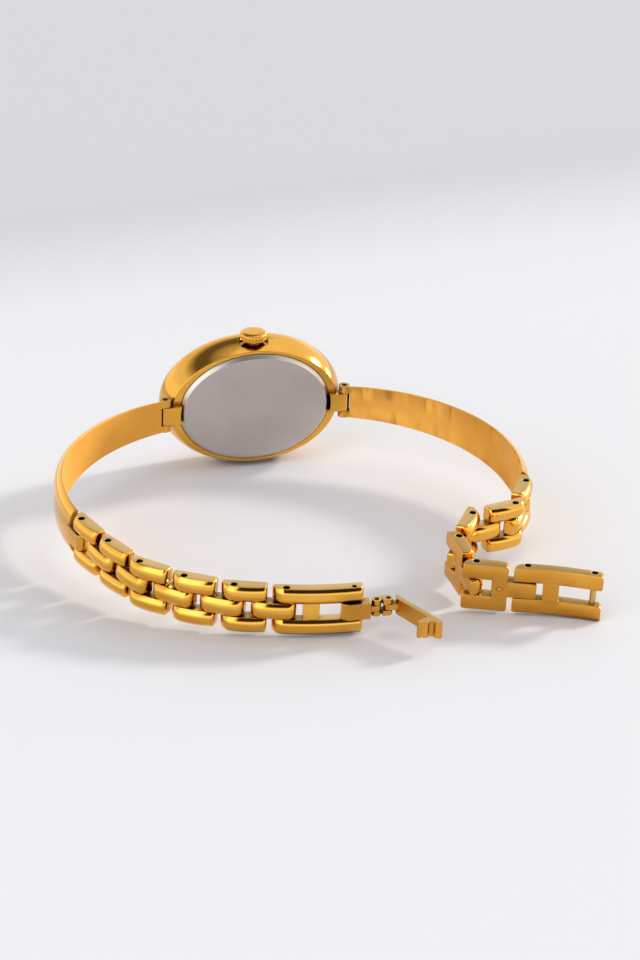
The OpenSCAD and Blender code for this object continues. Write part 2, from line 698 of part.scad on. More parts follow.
// H-shaped link on its own pin at the origin: two rails, and a brick that reaches the next pin
module link() {
  join_h = link_t * 0.6;
  difference() {
    union() {
      both_rails(-rail_back, rail_end, dome_long_r);
      domed_bar(brick_start, brick_end, brick_w, dome_long_r, [brick_r, brick_r]);
      translate([brick_start + 0.1, -link_t / 2, -inner_w / 2 - 0.2])
        cube([rail_end - brick_start - 0.2, join_h, inner_w + 0.4]);
    }
    cylinder(h = band_w + 1, r = pin_r + hold_gap, center = true);
    translate([pitch, 0, 0]) cylinder(h = band_w + 1, r = pin_r + turn_gap, center = true);
  }
}

// Places a piece on pin number count of a chain, outside toward the outside of the bracelet
module on_chain(start, heads, count, out) {
  at = chain(start, heads, count);
  lying() translate([at[0], at[1], 0]) rotate([0, 0, heads[count]]) mirror([0, out < 0 ? 1 : 0, 0]) children();
}
module chain_6(count) {
  on_chain(start_6, heads_6, count, -1) children();
}
module chain_12(count) {
  on_chain(start_12, heads_12, count, 1) children();
}
module link_6(count) {
  color(gold) chain_6(count) link();
}
module link_12(count) {
  color(gold) chain_12(count) link();
}
module pin() {
  color("silver") cylinder(h = band_w - 2 * pin_sunk, r = pin_r, center = true);
}

// Open end frame: two long rails, a sunk crossbar near the last link, and a pin at each end
module end_frame(end_pin_r) {
  end_x = frame_reach + frame_over;
  half_l = (end_x + rail_back) / 2;
  hollow_r = (half_l * half_l / frame_hollow + frame_hollow) / 2;
  difference() {
    union() {
      both_rails(-rail_back, end_x, dome_long_r * 2);
      translate([brick_start, -link_t / 2, -inner_w / 2 - 0.2])
        cube([rail_end - brick_start, link_t - crossbar_sunk, inner_w + 0.4]);
    }
    translate([(end_x - rail_back) / 2, frame_hollow - link_t / 2 - hollow_r, 0])
      cylinder(h = band_w + 1, r = hollow_r, center = true, $fn = 360);
    cylinder(h = band_w + 1, r = pin_r + hold_gap, center = true);
    translate([frame_reach, 0, 0]) cylinder(h = band_w + 1, r = end_pin_r + hold_gap, center = true);
  }
}
module frame_6() {
  color(gold) chain_6(5) end_frame(clasp_pin_r);
}
module frame_12() {
  color(gold) chain_12(5) end_frame(catch_r);
}
module catch_bar() {
  color(gold) chain_12(5) translate([frame_reach, 0, 0])
    cylinder(h = band_w - 2 * pin_sunk, r = catch_r, center = true);
}

module at_clasp(at, head) {
  lying() translate([at[0], at[1], 0]) rotate([0, 0, head]) children();
}

// Slab of a given width, drawn from its side outline
module slab(w) {
  linear_extrude(height = w, center = true) children();
}

module pin_hole(x, r) {
  translate([x, 0, 0]) cylinder(h = band_w, r = r, center = true);
}

// Hinge block between the rails of the end frame: stepped slab with a toe, and a tongue for the side plates
module clasp_block() {
  front = -block_r - 0.15;
  slab_end = block_reach - knuckle_r - 0.25;
  color(gold) at_clasp(clasp_at, block_head) difference() {
    union() {
      cylinder(h = clasp_w, r = block_r, center = true);
      slab(clasp_w) polygon([[-1.5, 0.1], [-1.5, -0.45], [-0.95, -0.8], [-0.85, front], [slab_end - 0.1, front],
        [slab_end, front + 0.1], [slab_end, 0.45], [0, 0.6]]);
      slab(tongue_w) translate([0, -knuckle_r]) square([block_reach, 2 * knuckle_r]);
      translate([block_reach, 0, 0]) cylinder(h = tongue_w, r = knuckle_r, center = true);
    }
    pin_hole(0, clasp_pin_r + turn_gap);
    pin_hole(block_reach, clasp_pin_r + turn_gap);
  }
}

// Two side plates that carry the lever on the block, each a ring, a neck and a full rounded end
module clasp_plates() {
  color(gold) at_clasp(plates_at, plates_head) for (side = [-1, 1])
    translate([0, 0, side * (tongue_w + side_plate_t + 2 * side_gap) / 2]) difference() {
      union() {
        for (x = [0, plates_reach]) translate([x, 0, 0]) cylinder(h = side_plate_t, r = knuckle_r, center = true);
        slab(side_plate_t) translate([0, -0.1]) square([plates_reach, knuckle_r + 0.1]);
        slab(side_plate_t) translate([plates_reach - 0.7, -knuckle_r]) square([0.7, 2 * knuckle_r]);
      }
      pin_hole(0, clasp_pin_r + hold_gap);
      pin_hole(plates_reach, clasp_pin_r + hold_gap);
    }
}

// Side outline of the lever's arm, with the slanted foot at its end and the snap groove in the foot
module lever_outline() {
  arm_in = lever_off - lever_t / 2;
  arm_out = lever_off + lever_t / 2;
  heel = [lever_l - foot_l, arm_in - foot_h];
  toe = [lever_l - 0.1, arm_in + 0.15];
  groove = heel + 0.64 * (toe - heel) + [0.04, -0.04];
  difference() {
    union() {
      polygon([[-0.1, arm_out], [0.75, arm_in], [heel[0] - 0.1, arm_in], heel + [-0.1, 0.15], heel, toe,
        [lever_l, arm_in + 0.35], [lever_l, arm_out - 0.15], [lever_l - 0.15, arm_out]]);
      translate(heel + [0.12, 0.22]) circle(r = 0.22);
    }
    translate(groove) circle(r = groove_r);
  }
}
module clasp_lever() {
  color(gold) at_clasp(lever_at, lever_head) difference() {
    union() {
      slab(clasp_w) lever_outline();
      slab(tongue_w) polygon([[-knuckle_r * 0.8, 0.4], [-0.1, lever_off], [1.2, lever_off], [knuckle_r * 0.9, -0.3]]);
      cylinder(h = tongue_w, r = knuckle_r, center = true);
    }
    pin_hole(0, clasp_pin_r + turn_gap);
  }
}

module clasp_pin(at, w) {
  color("silver") lying() translate([at[0], at[1], 0]) cylinder(h = w, r = clasp_pin_r, center = true);
}

case_middle();
case_back();
back_gasket();
crystal();
crystal_gasket();
dial();
crown_tube();
stem_gasket();
movement_holder();
main_plate();
train_bridge();
battery();
coil();
stator();
circuit_board();
rotor();
third_wheel();
centre_wheel();
hour_wheel();
minute_hand();
hour_hand();
crown();
winding_stem();
setting_lever();
lug_pin(lug_6);  // lug_pin_6
bangle_6();
link_6(0);  // link_6_1
link_6(1);  // link_6_2
link_6(2);  // link_6_3
link_6(3);  // link_6_4
link_6(4);  // link_6_5
chain_6(0) pin();  // pin_6_1
chain_6(1) pin();  // pin_6_2
chain_6(2) pin();  // pin_6_3
chain_6(3) pin();  // pin_6_4
chain_6(4) pin();  // pin_6_5
frame_6();
chain_6(5) pin();  // frame_pin_6
lug_pin(lug_12);  // lug_pin_12
bangle_12();
link_12(0);  // link_12_1
link_12(1);  // link_12_2
link_12(2);  // link_12_3
link_12(3);  // link_12_4
link_12(4);  // link_12_5
chain_12(0) pin();  // pin_12_1
chain_12(1) pin();  // pin_12_2
chain_12(2) pin();  // pin_12_3
chain_12(3) pin();  // pin_12_4
chain_12(4) pin();  // pin_12_5
frame_12();
chain_12(5) pin();  // frame_pin_12
catch_bar();
clasp_block();
clasp_plates();
clasp_lever();
clasp_pin(clasp_at, band_w - 2 * pin_sunk);  // block_pin
clasp_pin(plates_at, clasp_pin_l);  // plates_pin
clasp_pin(lever_at, clasp_pin_l);  // lever_pin
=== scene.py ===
"""Looks of the ladies' bangle wristwatch: finishes, fine shapes, floor, light and camera."""

import json
import math

import bmesh
import bpy
from mathutils import Matrix, Vector


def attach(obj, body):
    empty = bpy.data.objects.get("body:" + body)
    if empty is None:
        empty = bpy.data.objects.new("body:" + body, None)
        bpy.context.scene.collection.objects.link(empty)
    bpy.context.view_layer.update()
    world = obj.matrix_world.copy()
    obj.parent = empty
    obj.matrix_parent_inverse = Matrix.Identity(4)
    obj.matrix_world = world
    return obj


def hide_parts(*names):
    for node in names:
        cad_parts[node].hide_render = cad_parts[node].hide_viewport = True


MM = 0.001

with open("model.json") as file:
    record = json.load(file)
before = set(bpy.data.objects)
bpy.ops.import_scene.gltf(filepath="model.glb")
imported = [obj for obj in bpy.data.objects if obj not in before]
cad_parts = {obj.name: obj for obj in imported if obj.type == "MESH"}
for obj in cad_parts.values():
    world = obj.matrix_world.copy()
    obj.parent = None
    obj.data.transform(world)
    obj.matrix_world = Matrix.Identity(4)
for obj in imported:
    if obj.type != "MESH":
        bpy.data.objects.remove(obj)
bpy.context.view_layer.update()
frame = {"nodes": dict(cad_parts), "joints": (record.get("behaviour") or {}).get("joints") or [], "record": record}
record = frame["record"]
joints = {joint["name"]: joint for joint in frame["joints"]}


# Where the CAD puts things: the joints give the pins and directions of the chain

def pin_of(joint):
    return Vector(joints[joint]["pos_m"])


UP = Vector(joints["crown_pull"]["axis"]).normalized()
DIAL_OUT = Vector(joints["minute_turn"]["axis"]).normalized()
ALONG = DIAL_OUT.cross(UP).normalized()
BACK = Vector(next(m for m in record["mounts"] if m["name"] == "case_back")["pos_m"])
SIDES = ("6", "12")
LINKS = range(1, 6)
END_PIN = {"6": pin_of("clasp_block_hinge"),
           "12": Vector(next(m for m in record["mounts"] if m["name"] == "catch_bar")["pos_m"])}
# The bracelet's outside lies right of the walk along the 6 o'clock chain, and left on the other
OUT_SIGN = {"6": -1, "12": 1}


def frame_at(origin, x_dir, y_dir, z_dir):
    """Matrix whose axes are the three given directions, in metres."""
    m = Matrix((x_dir, y_dir, z_dir)).transposed().to_4x4()
    m.translation = origin
    return m


CASE = frame_at(BACK, ALONG, DIAL_OUT, UP)


def chain_pins(side):
    return [pin_of(f"link_{side}_{i}_hinge") for i in LINKS] + [pin_of(f"frame_{side}_hinge"), END_PIN[side]]


def chain_frame(side, index):
    """Frame of piece number index on a chain: x to the next pin, y to the outside, z across the band."""
    pins = chain_pins(side)
    x_dir = (pins[index + 1] - pins[index]).normalized()
    return frame_at(pins[index], x_dir, OUT_SIGN[side] * UP.cross(x_dir), UP)


# Sizes of the band, in millimetres, as the CAD has them

PITCH = 6.0
BAND_W = 6.0
RAIL_W = 1.92
BRICK_W = 2.06
LINK_T = 2.0
RAIL_BACK = 1.5
RAIL_END = 3.84
BRICK_START = 1.95
BRICK_END = 7.2
PIN_R = 0.4
CLASP_PIN_R = 0.28
CATCH_R = 0.38
FRAME_REACH = 7.8
FRAME_OVER = 1.08
FRAME_HOLLOW = 0.35
CROSSBAR_SUNK = 0.45
CROSSBAR_BASE = 0.3
BRIDGE_TOP = 0.2
FRAME_ARC = 3.0
NOSE_R = 1.3
TAIL_R = 0.4
BRICK_R = 0.84
LONG_R = 11.0

# Gap round a pin that is held and one that turns, the overlap of pieces that are joined, and how far a cutter
# stands past what it cuts
HOLD_GAP = 0.015
TURN_GAP = 0.05
LAP = 0.2
PAST = 1.0

# Sides of a round that shows large
FINE = 64

# Width of the rounded edges
BAND_EDGE = 0.14
STRIP_EDGE = 0.1
CASE_EDGE = 0.07
BACK_EDGE = 0.05
CRYSTAL_EDGE = 0.05
PLATES_EDGE = 0.06
DIAL_EDGE = 0.03
CROWN_EDGE = 0.025
HAND_EDGE = 0.015

# Sizes of the strips and the lugs

STRIP_R = 23.7
STRIP_T = 1.15
STRIP_W = 4.5
STRIP_MID_R = STRIP_R - STRIP_T / 2
TONGUE_T = 1.5
LUG_X = 12.0
LUG_Y = 0.33
LUG_W = 2.5
LUG_R = 0.72
LUG_PIN_R = 0.35
LUG_SLOT = 0.25
TINE_GAP = 1.3

# Sizes of the case, in its own frame: x to 12 o'clock, y from the back to the dial, z to 3 o'clock

HALF_L = 12.1
HALF_W = 9.0
SIDE_Y0 = 0.5
SIDE_H = 5.4
SIDE_Y1 = SIDE_Y0 + SIDE_H
CASE_UNDER = 1.0
BEZEL_IN = 1.2
BACK_L = 9.55
BACK_W = 7.15
BACK_CHAMFER = 0.45
BACK_T = 0.7
CHAMBER_L = 9.4
CHAMBER_W = 7.0
CRYSTAL_L = 9.9
CRYSTAL_W = 6.8
CRYSTAL_T = 0.8
CRYSTAL_DOME = 0.35
DIAL_Y = 4.05
DIAL_T = 0.35
HOUR_HAND_Y = 4.58
MINUTE_HAND_Y = 4.88
HAND_T = 0.18
STEM_Y = 2.4
CROWN_R = 1.75
CROWN_L = 1.05
CROWN_Z = 9.05
CROWN_WELL_Z = 8.4
TEETH = 24

# Sizes of the clasp

BLOCK_REACH = 2.7
PLATES_REACH = 1.4
CLASP_W = 2.06
TONGUE_W = 0.72
SIDE_PLATE_T = 0.62
KNUCKLE_R = 0.55
LEVER_HEAD = -62.0


# Materials

def new_material(name):
    material = bpy.data.materials.new(name)
    material.use_nodes = True
    nodes = material.node_tree.nodes
    return material, nodes, material.node_tree.links, nodes["Principled BSDF"]


def object_noise(nodes, links, scale, detail=3.0, stretch=(1, 1, 1)):
    """Noise in the object's own coordinates, stretched along its axes."""
    coordinates = nodes.new("ShaderNodeTexCoord")
    mapping = nodes.new("ShaderNodeMapping")
    mapping.inputs["Scale"].default_value = stretch
    noise = nodes.new("ShaderNodeTexNoise")
    noise.inputs["Scale"].default_value = scale
    noise.inputs["Detail"].default_value = detail
    links.new(coordinates.outputs["Object"], mapping.inputs["Vector"])
    links.new(mapping.outputs["Vector"], noise.inputs["Vector"])
    return noise.outputs["Fac"]


def ramp(nodes, links, source, stops):
    """Colour ramp over a value; stops are (position, colour)."""
    node = nodes.new("ShaderNodeValToRGB")
    elements = node.color_ramp.elements
    while len(elements) < len(stops):
        elements.new(0.5)
    for element, (position, colour) in zip(elements, stops):
        element.position = position
        element.color = (*colour, 1)
    links.new(source, node.inputs["Fac"])
    return node.outputs["Color"]


def map_range(nodes, links, value, start=(0.0, 1.0), end=(0.0, 1.0)):
    """A value moved from the range start to the range end."""
    node = nodes.new("ShaderNodeMapRange")
    for socket, number in zip(("From Min", "From Max", "To Min", "To Max"), (*start, *end)):
        node.inputs[socket].default_value = number
    links.new(value, node.inputs["Value"])
    return node.outputs["Result"]


def bump(nodes, links, source, shader, strength, distance, normal=None):
    node = nodes.new("ShaderNodeBump")
    node.inputs["Strength"].default_value = strength
    node.inputs["Distance"].default_value = distance
    links.new(source, node.inputs["Height"])
    if normal is not None:
        links.new(normal, node.inputs["Normal"])
    links.new(node.outputs["Normal"], shader.inputs["Normal"])


# Painted shade in the crevices between pieces: how far it is felt, in millimetres, the range of openness that
# darkens, and the darkest share
GAP_REACH = 0.9
GAP_OPENNESS = (0.3, 0.8)
GAP_SHADE_DARKEST = 0.03
# Radius in millimetres at which the shading rounds the metal's edges, and the rays that each such node takes
EDGE_ROUND = 0.18
RAYS = 6
METAL_BUMP = 0.35
PLAIN_BUMP = 0.3
# Scales of the slow change in a metal's colour and in the glass's gloss
METAL_CLOUD = 160.0
GLASS_CLOUD = 60.0
GLASS_ROUGH = (0.0, 0.03)
# How far the strip's gloss is stretched, and its turn from the grain's way
STRIP_STRETCH = 0.4
STRIP_TURN = 0.25


def painted_gap_shade(nodes, links, colour):
    """Darkens a colour deep in the crevices between pieces: painted shade where the pieces hide each other from
    the light.
    """
    openness = nodes.new("ShaderNodeAmbientOcclusion")
    openness.samples = RAYS
    openness.inputs["Distance"].default_value = GAP_REACH * MM
    shaded = nodes.new("ShaderNodeVectorMath")
    shaded.operation = "SCALE"
    links.new(colour, shaded.inputs[0])
    links.new(map_range(nodes, links, openness.outputs["AO"], GAP_OPENNESS, (GAP_SHADE_DARKEST, 1.0)),
              shaded.inputs["Scale"])
    return shaded.outputs["Vector"]


def metal(name, dark, light, rough, grain=900.0, stretch=(1, 1, 1), grain_depth=0.0, rough_spread=0.04,
          gap_shade=True):
    """Metal with slight colour change, uneven gloss, soft edges, painted shade in its crevices and, where asked, a
    fine grain.
    """
    material, nodes, links, shader = new_material(name)
    shader.inputs["Metallic"].default_value = 1.0
    cloud = object_noise(nodes, links, METAL_CLOUD, 4.0)
    colour = ramp(nodes, links, cloud, [(0.3, dark), (0.7, light)])
    # Painted shade: the base colour is darkened deep in the crevices between pieces
    links.new(painted_gap_shade(nodes, links, colour) if gap_shade else colour, shader.inputs["Base Color"])
    fine = object_noise(nodes, links, grain, 5.0, stretch)
    gloss = map_range(nodes, links, fine, end=(rough - rough_spread, rough + rough_spread))
    links.new(gloss, shader.inputs["Roughness"])
    rounded = nodes.new("ShaderNodeBevel")
    rounded.samples = RAYS
    rounded.inputs["Radius"].default_value = EDGE_ROUND * MM
    if grain_depth:
        bump(nodes, links, fine, shader, METAL_BUMP, grain_depth * MM, rounded.outputs["Normal"])
    else:
        links.new(rounded.outputs["Normal"], shader.inputs["Normal"])
    return material


def along_strip(material):
    """Gives a finish the sheen of a grain that runs along the strip, round the upright axis."""
    nodes, links = material.node_tree.nodes, material.node_tree.links
    grain_way = nodes.new("ShaderNodeTangent")
    grain_way.direction_type = "RADIAL"
    grain_way.axis = "Z"
    shader = nodes["Principled BSDF"]
    shader.inputs["Anisotropic"].default_value = STRIP_STRETCH
    shader.inputs["Anisotropic Rotation"].default_value = STRIP_TURN
    links.new(grain_way.outputs["Tangent"], shader.inputs["Tangent"])
    return material


def plain(name, dark, light, rough, metallic=0.0, grain=700.0, depth=0.0):
    """Plastic, rubber, lacquer or board with a fine uneven surface."""
    material, nodes, links, shader = new_material(name)
    shader.inputs["Metallic"].default_value = metallic
    shader.inputs["Roughness"].default_value = rough
    cloud = object_noise(nodes, links, grain, 4.0)
    links.new(ramp(nodes, links, cloud, [(0.35, dark), (0.65, light)]), shader.inputs["Base Color"])
    if depth:
        bump(nodes, links, cloud, shader, PLAIN_BUMP, depth * MM)
    return material


def glass(name):
    """Clear glass with a very slightly uneven gloss."""
    material, nodes, links, shader = new_material(name)
    shader.inputs["Base Color"].default_value = (0.97, 0.99, 1.0, 1)
    shader.inputs["Transmission Weight"].default_value = 1.0
    shader.inputs["IOR"].default_value = 1.5
    haze = object_noise(nodes, links, GLASS_CLOUD)
    links.new(map_range(nodes, links, haze, end=GLASS_ROUGH), shader.inputs["Roughness"])
    return material


# Each finish: its dark and light colour and its roughness, and then its grain
POLISHED = metal("gold_polished", (0.84, 0.43, 0.06), (0.93, 0.50, 0.085), 0.075, rough_spread=0.03)
CASE_GOLD = metal("gold_case", (0.72, 0.36, 0.05), (0.86, 0.46, 0.08), 0.10, grain=1800.0, grain_depth=0.001)
SATIN = metal("gold_satin", (0.62, 0.39, 0.12), (0.72, 0.47, 0.155), 0.31, grain=2600.0, grain_depth=0.004)
BRUSHED = metal("gold_brushed", (0.67, 0.305, 0.04), (0.79, 0.38, 0.06), 0.37, grain=3000.0,
                grain_depth=0.003)
STRIP_INSIDE = along_strip(metal("gold_strip_inside", (0.85, 0.45, 0.075), (0.93, 0.52, 0.105), 0.66,
                                 grain=3000.0, grain_depth=0.003))
CLASP_GOLD = metal("gold_clasp", (0.66, 0.31, 0.045), (0.78, 0.39, 0.065), 0.22)
HAND_GOLD = metal("gold_hands", (0.86, 0.50, 0.12), (0.94, 0.58, 0.17), 0.2, gap_shade=False)
BACK_MATT = metal("back_matt", (0.50, 0.46, 0.445), (0.56, 0.52, 0.50), 0.45, grain=3200.0, grain_depth=0.008)
BACK_RIM = metal("back_rim", (0.60, 0.53, 0.45), (0.70, 0.63, 0.54), 0.36)
# The steel pins sit deep in their holes; their colour is near black, as painted shade of the holes
PIN_PAINTED_SHADE = metal("pin", (0.035, 0.022, 0.012), (0.08, 0.05, 0.028), 0.42)
STEEL = metal("movement_steel", (0.5, 0.5, 0.51), (0.62, 0.62, 0.64), 0.25, grain=1800.0,
              stretch=(0.1, 1, 1), grain_depth=0.003)
MOVEMENT = metal("movement_brass", (0.70, 0.52, 0.22), (0.8, 0.62, 0.3), 0.28, grain=1500.0,
                 grain_depth=0.003)
CELL = metal("battery", (0.7, 0.7, 0.7), (0.78, 0.78, 0.78), 0.15)
COPPER = metal("coil_wire", (0.55, 0.16, 0.05), (0.7, 0.25, 0.08), 0.3, grain=2500.0,
               stretch=(1, 0.1, 0.1), grain_depth=0.02)
MAGNET = plain("magnet", (0.05, 0.05, 0.06), (0.09, 0.09, 0.1), 0.4, metallic=0.8)
RUBBER = plain("seal", (0.01, 0.01, 0.01), (0.03, 0.03, 0.03), 0.6)
HOLDER = plain("holder", (0.7, 0.7, 0.67), (0.78, 0.78, 0.75), 0.5)
BOARD = plain("circuit", (0.01, 0.08, 0.03), (0.02, 0.13, 0.05), 0.35)
DIAL = plain("dial_lacquer", (0.80, 0.76, 0.66), (0.86, 0.82, 0.73), 0.3, grain=300.0, depth=0.002)
PRINT = plain("dial_print", (0.03, 0.025, 0.02), (0.05, 0.04, 0.03), 0.45)
CRYSTAL = glass("crystal_glass")

FINISH = {
    "case_gold": POLISHED, "band_gold": SATIN, "back_steel": BACK_MATT, "pin_steel": PIN_PAINTED_SHADE,
    "crystal": CRYSTAL, "dial": DIAL, "hands": HAND_GOLD, "seal": RUBBER, "holder": HOLDER,
    "movement_brass": MOVEMENT, "movement_steel": STEEL, "battery": CELL, "coil_wire": COPPER,
    "circuit": BOARD, "magnet": MAGNET,
}


def give_finishes():
    """Every CAD node takes the finish of its slot."""
    slots = {part["node"]: part["material_slot"] for part in record["subparts"]}
    for name, node in frame["nodes"].items():
        node.data.materials.clear()
        node.data.materials.append(FINISH[slots[name]])


# Meshes

# Points closer than this, in millimetres, are one
SAME_POINT = 1e-5


def make_object(name, bm, materials):
    """Object from a bmesh in millimetres, which is used up."""
    bmesh.ops.remove_doubles(bm, verts=bm.verts, dist=SAME_POINT)
    bmesh.ops.recalc_face_normals(bm, faces=bm.faces)
    mesh = bpy.data.meshes.new(name)
    bm.to_mesh(mesh)
    bm.free()
    mesh.transform(Matrix.Scale(MM, 4))
    for material in materials:
        mesh.materials.append(material)
    piece = bpy.data.objects.new(name, mesh)
    bpy.context.scene.collection.objects.link(piece)
    return piece


def skin(bm, rows):
    """Faces between each row of points and the next, where each row is a closed ring."""
    count = len(rows[0])
    for low, high in zip(rows, rows[1:]):
        for i in range(count):
            j = (i + 1) % count
            bm.faces.new((low[i], low[j], high[j], high[i]))


def points_of(bm, rings):
    return [[bm.verts.new(p) for p in ring] for ring in rings]


def loft(bm, rings):
    """Closed solid over rings of as many points each."""
    rows = points_of(bm, rings)
    skin(bm, rows)
    bm.faces.new(list(reversed(rows[0])))
    bm.faces.new(rows[-1])


def cylinder(bm, centre, radius, length, axis="z", segments=32):
    """Closed cylinder round a point, along the z or y axis."""
    turn = Matrix.Rotation(math.pi / 2, 4, "X") if axis == "y" else Matrix.Identity(4)
    bmesh.ops.create_cone(bm, cap_ends=True, segments=segments, radius1=radius, radius2=radius,
                          depth=length, matrix=Matrix.Translation(centre) @ turn)


def cuboid(bm, low, high):
    """Box between its lowest and highest corner."""
    size = [h - l for l, h in zip(low, high)]
    middle = [(l + h) / 2 for l, h in zip(low, high)]
    bmesh.ops.create_cube(bm, size=1, matrix=Matrix.Translation(middle) @ Matrix.Diagonal((*size, 1)))


def part_mesh(build):
    """Helper object made by build(bm), for a join or a cut."""
    bm = bmesh.new()
    build(bm)
    return make_object("helper", bm, [])


def join(piece, build, operation="UNION"):
    """Adds what build(bm) makes to a piece, or cuts it away, with the result applied."""
    helper = part_mesh(build)
    modifier = piece.modifiers.new("join", "BOOLEAN")
    modifier.operation = operation
    modifier.solver = "EXACT"
    modifier.object = helper
    apply_modifiers(piece)
    bpy.data.objects.remove(helper)
    return piece


def cut_bores(piece, bores, length):
    """Cuts round bores across a piece, each given as its centre and radius."""
    def build(bm):
        for centre, radius in bores:
            cylinder(bm, centre, radius, length)
    return join(piece, build, "DIFFERENCE")


def apply_modifiers(piece):
    graph = bpy.context.evaluated_depsgraph_get()
    mesh = bpy.data.meshes.new_from_object(piece.evaluated_get(graph))
    old = piece.data
    piece.modifiers.clear()
    piece.data = mesh
    bpy.data.meshes.remove(old)


def soften(piece, width, segments=3, angle=32):
    """Rounds the edges and shades the faces smoothly between them."""
    modifier = piece.modifiers.new("edges", "BEVEL")
    modifier.width = width * MM
    modifier.segments = segments
    modifier.limit_method = "ANGLE"
    modifier.angle_limit = math.radians(angle)
    modifier.harden_normals = True
    modifier.use_clamp_overlap = True
    for polygon in piece.data.polygons:
        polygon.use_smooth = True
    return piece


def paint_faces(piece, choose):
    """Sets each face's material by choose(centre in mm, normal)."""
    for polygon in piece.data.polygons:
        polygon.material_index = choose(polygon.center / MM, polygon.normal)


def copy_at(piece, name, matrix, body, nodes):
    """Copy of a finished mesh, placed and riding on its body."""
    twin = piece.copy()
    twin.name = name
    twin.data = piece.data.copy()
    twin.data.transform(matrix)
    bpy.context.scene.collection.objects.link(twin)
    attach(twin, body)
    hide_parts(*nodes)
    return twin


# Links and frames

# Crown of a bar: its depth, the share of the width that stays flat, and the power of the curve
LINK_DOME = (0.45, 0.0, 2.2)
FRAME_DOME = (0.36, 0.4, 1.3)
# The crown takes at most this share of a bar's height
DROP_SHARE = 0.7
# A bar's inner edges are cut back by BAR_EDGE, with a middle point at EDGE_MID of that. BAR_CORNER is the
# radius of its corners.
BAR_EDGE = 0.13
EDGE_MID = 0.3
BAR_CORNER = 0.3
# Steps across a bar, round each of its ends, and between them
ACROSS = 20
END_STEPS = 10
LONG_STEPS = 12


def bar_ring(x, top, bottom, w, dome):
    """Section of a domed bar: flat inside with round edges, flat sides, and a crowned outside."""
    deep, flat, curve = dome
    drop = min(deep, DROP_SHARE * (top - bottom))
    c = BAR_EDGE
    m = EDGE_MID * c
    points = [(x, bottom + c, -w / 2), (x, bottom + m, -w / 2 + m), (x, bottom, -w / 2 + c), (x, bottom, 0.0),
              (x, bottom, w / 2 - c), (x, bottom + m, w / 2 - m), (x, bottom + c, w / 2)]
    for k in range(ACROSS + 1):
        z = w / 2 - w * k / ACROSS
        points.append((x, top - drop * max(0.0, (abs(2 * z / w) - flat) / (1 - flat)) ** curve, z))
    return points


def corner_in(depth):
    """How far a bar's side stands in beside its round corner, at a depth from the bar's end."""
    if depth >= BAR_CORNER:
        return 0.0
    return BAR_CORNER - math.sqrt(BAR_CORNER ** 2 - (BAR_CORNER - depth) ** 2)


def bar_tops(x0, x1, nose, tail, arc_r):
    """(x, top) along a bar: a round nose, a long rise, and a tighter round tail."""
    middle = (x0 + x1) / 2
    turns = [math.radians(90 * k / END_STEPS) for k in range(END_STEPS)]

    def rise(x):
        return LINK_T / 2 - (arc_r - math.sqrt(arc_r ** 2 - (x - middle) ** 2))

    tops = []
    for a in turns:
        x = x0 + nose * (1 - math.cos(a))
        tops.append((x, rise(x) - nose * (1 - math.sin(a))))
    for k in range(LONG_STEPS + 1):
        x = x0 + nose + (x1 - tail - x0 - nose) * k / LONG_STEPS
        tops.append((x, rise(x)))
    for a in reversed(turns):
        x = x1 - tail * (1 - math.cos(a))
        tops.append((x, rise(x) - tail * (1 - math.sin(a))))
    return tops


def bar(bm, x0, x1, w, z, nose=NOSE_R, tail=TAIL_R, arc_r=LONG_R, hollow=0.0, dome=LINK_DOME):
    """Domed bar from x0 to x1 with round corners, hollowed along its inside where asked."""
    rings = []
    for x, top in bar_tops(x0, x1, nose, tail, arc_r):
        share = (2 * x - x0 - x1) / (x1 - x0)
        bottom = -LINK_T / 2 + hollow * (1 - share ** 2)
        narrow = w - 2 * corner_in(min(x - x0, x1 - x))
        rings.append([(px, py, pz + z) for px, py, pz in bar_ring(x, top, bottom, narrow, dome)])
    loft(bm, rings)


RAIL_Z = (BAND_W - RAIL_W) / 2
INNER_W = BAND_W - 2 * RAIL_W


def rail_pair(name, x0, x1, **shape):
    """Piece of two rails, with the three finishes of the band."""
    bm = bmesh.new()
    for side in (-1, 1):
        bar(bm, x0, x1, RAIL_W, side * RAIL_Z, **shape)
    return make_object(name, bm, [POLISHED, SATIN, BRUSHED])


# The places of a piece's three finishes, and what counts as its side and as its inside
OUTSIDE, SIDE, INSIDE = 0, 1, 2
SIDE_FACING = 0.9
INSIDE_FACING = -0.3
INSIDE_BELOW = -0.92


def link_finish(centre, normal):
    """Polished outside, satin sides, brushed inside."""
    if abs(normal.z) > SIDE_FACING:
        return SIDE
    if normal.y > INSIDE_FACING and centre.y > INSIDE_BELOW:
        return OUTSIDE
    return INSIDE


def across_middle(x0, x1, y0, y1):
    """Box between the rails that reaches a little into both."""
    half = INNER_W / 2 + LAP
    return lambda bm: cuboid(bm, (x0, y0, -half), (x1, y1, half))


def make_link():
    """H-link: two rails, middle brick, and the flat that joins them inside."""
    piece = rail_pair("link_master", -RAIL_BACK, RAIL_END)
    join(piece, lambda bm: bar(bm, BRICK_START, BRICK_END, BRICK_W, 0.0, nose=BRICK_R, tail=BRICK_R))
    join(piece, across_middle(BRICK_START + LAP / 2, RAIL_END - LAP / 2, -LINK_T / 2, BRIDGE_TOP))
    cut_bores(piece, [((0, 0, 0), PIN_R + HOLD_GAP), ((PITCH, 0, 0), PIN_R + TURN_GAP)], BAND_W + PAST)
    paint_faces(piece, link_finish)
    return soften(piece, BAND_EDGE, segments=4)


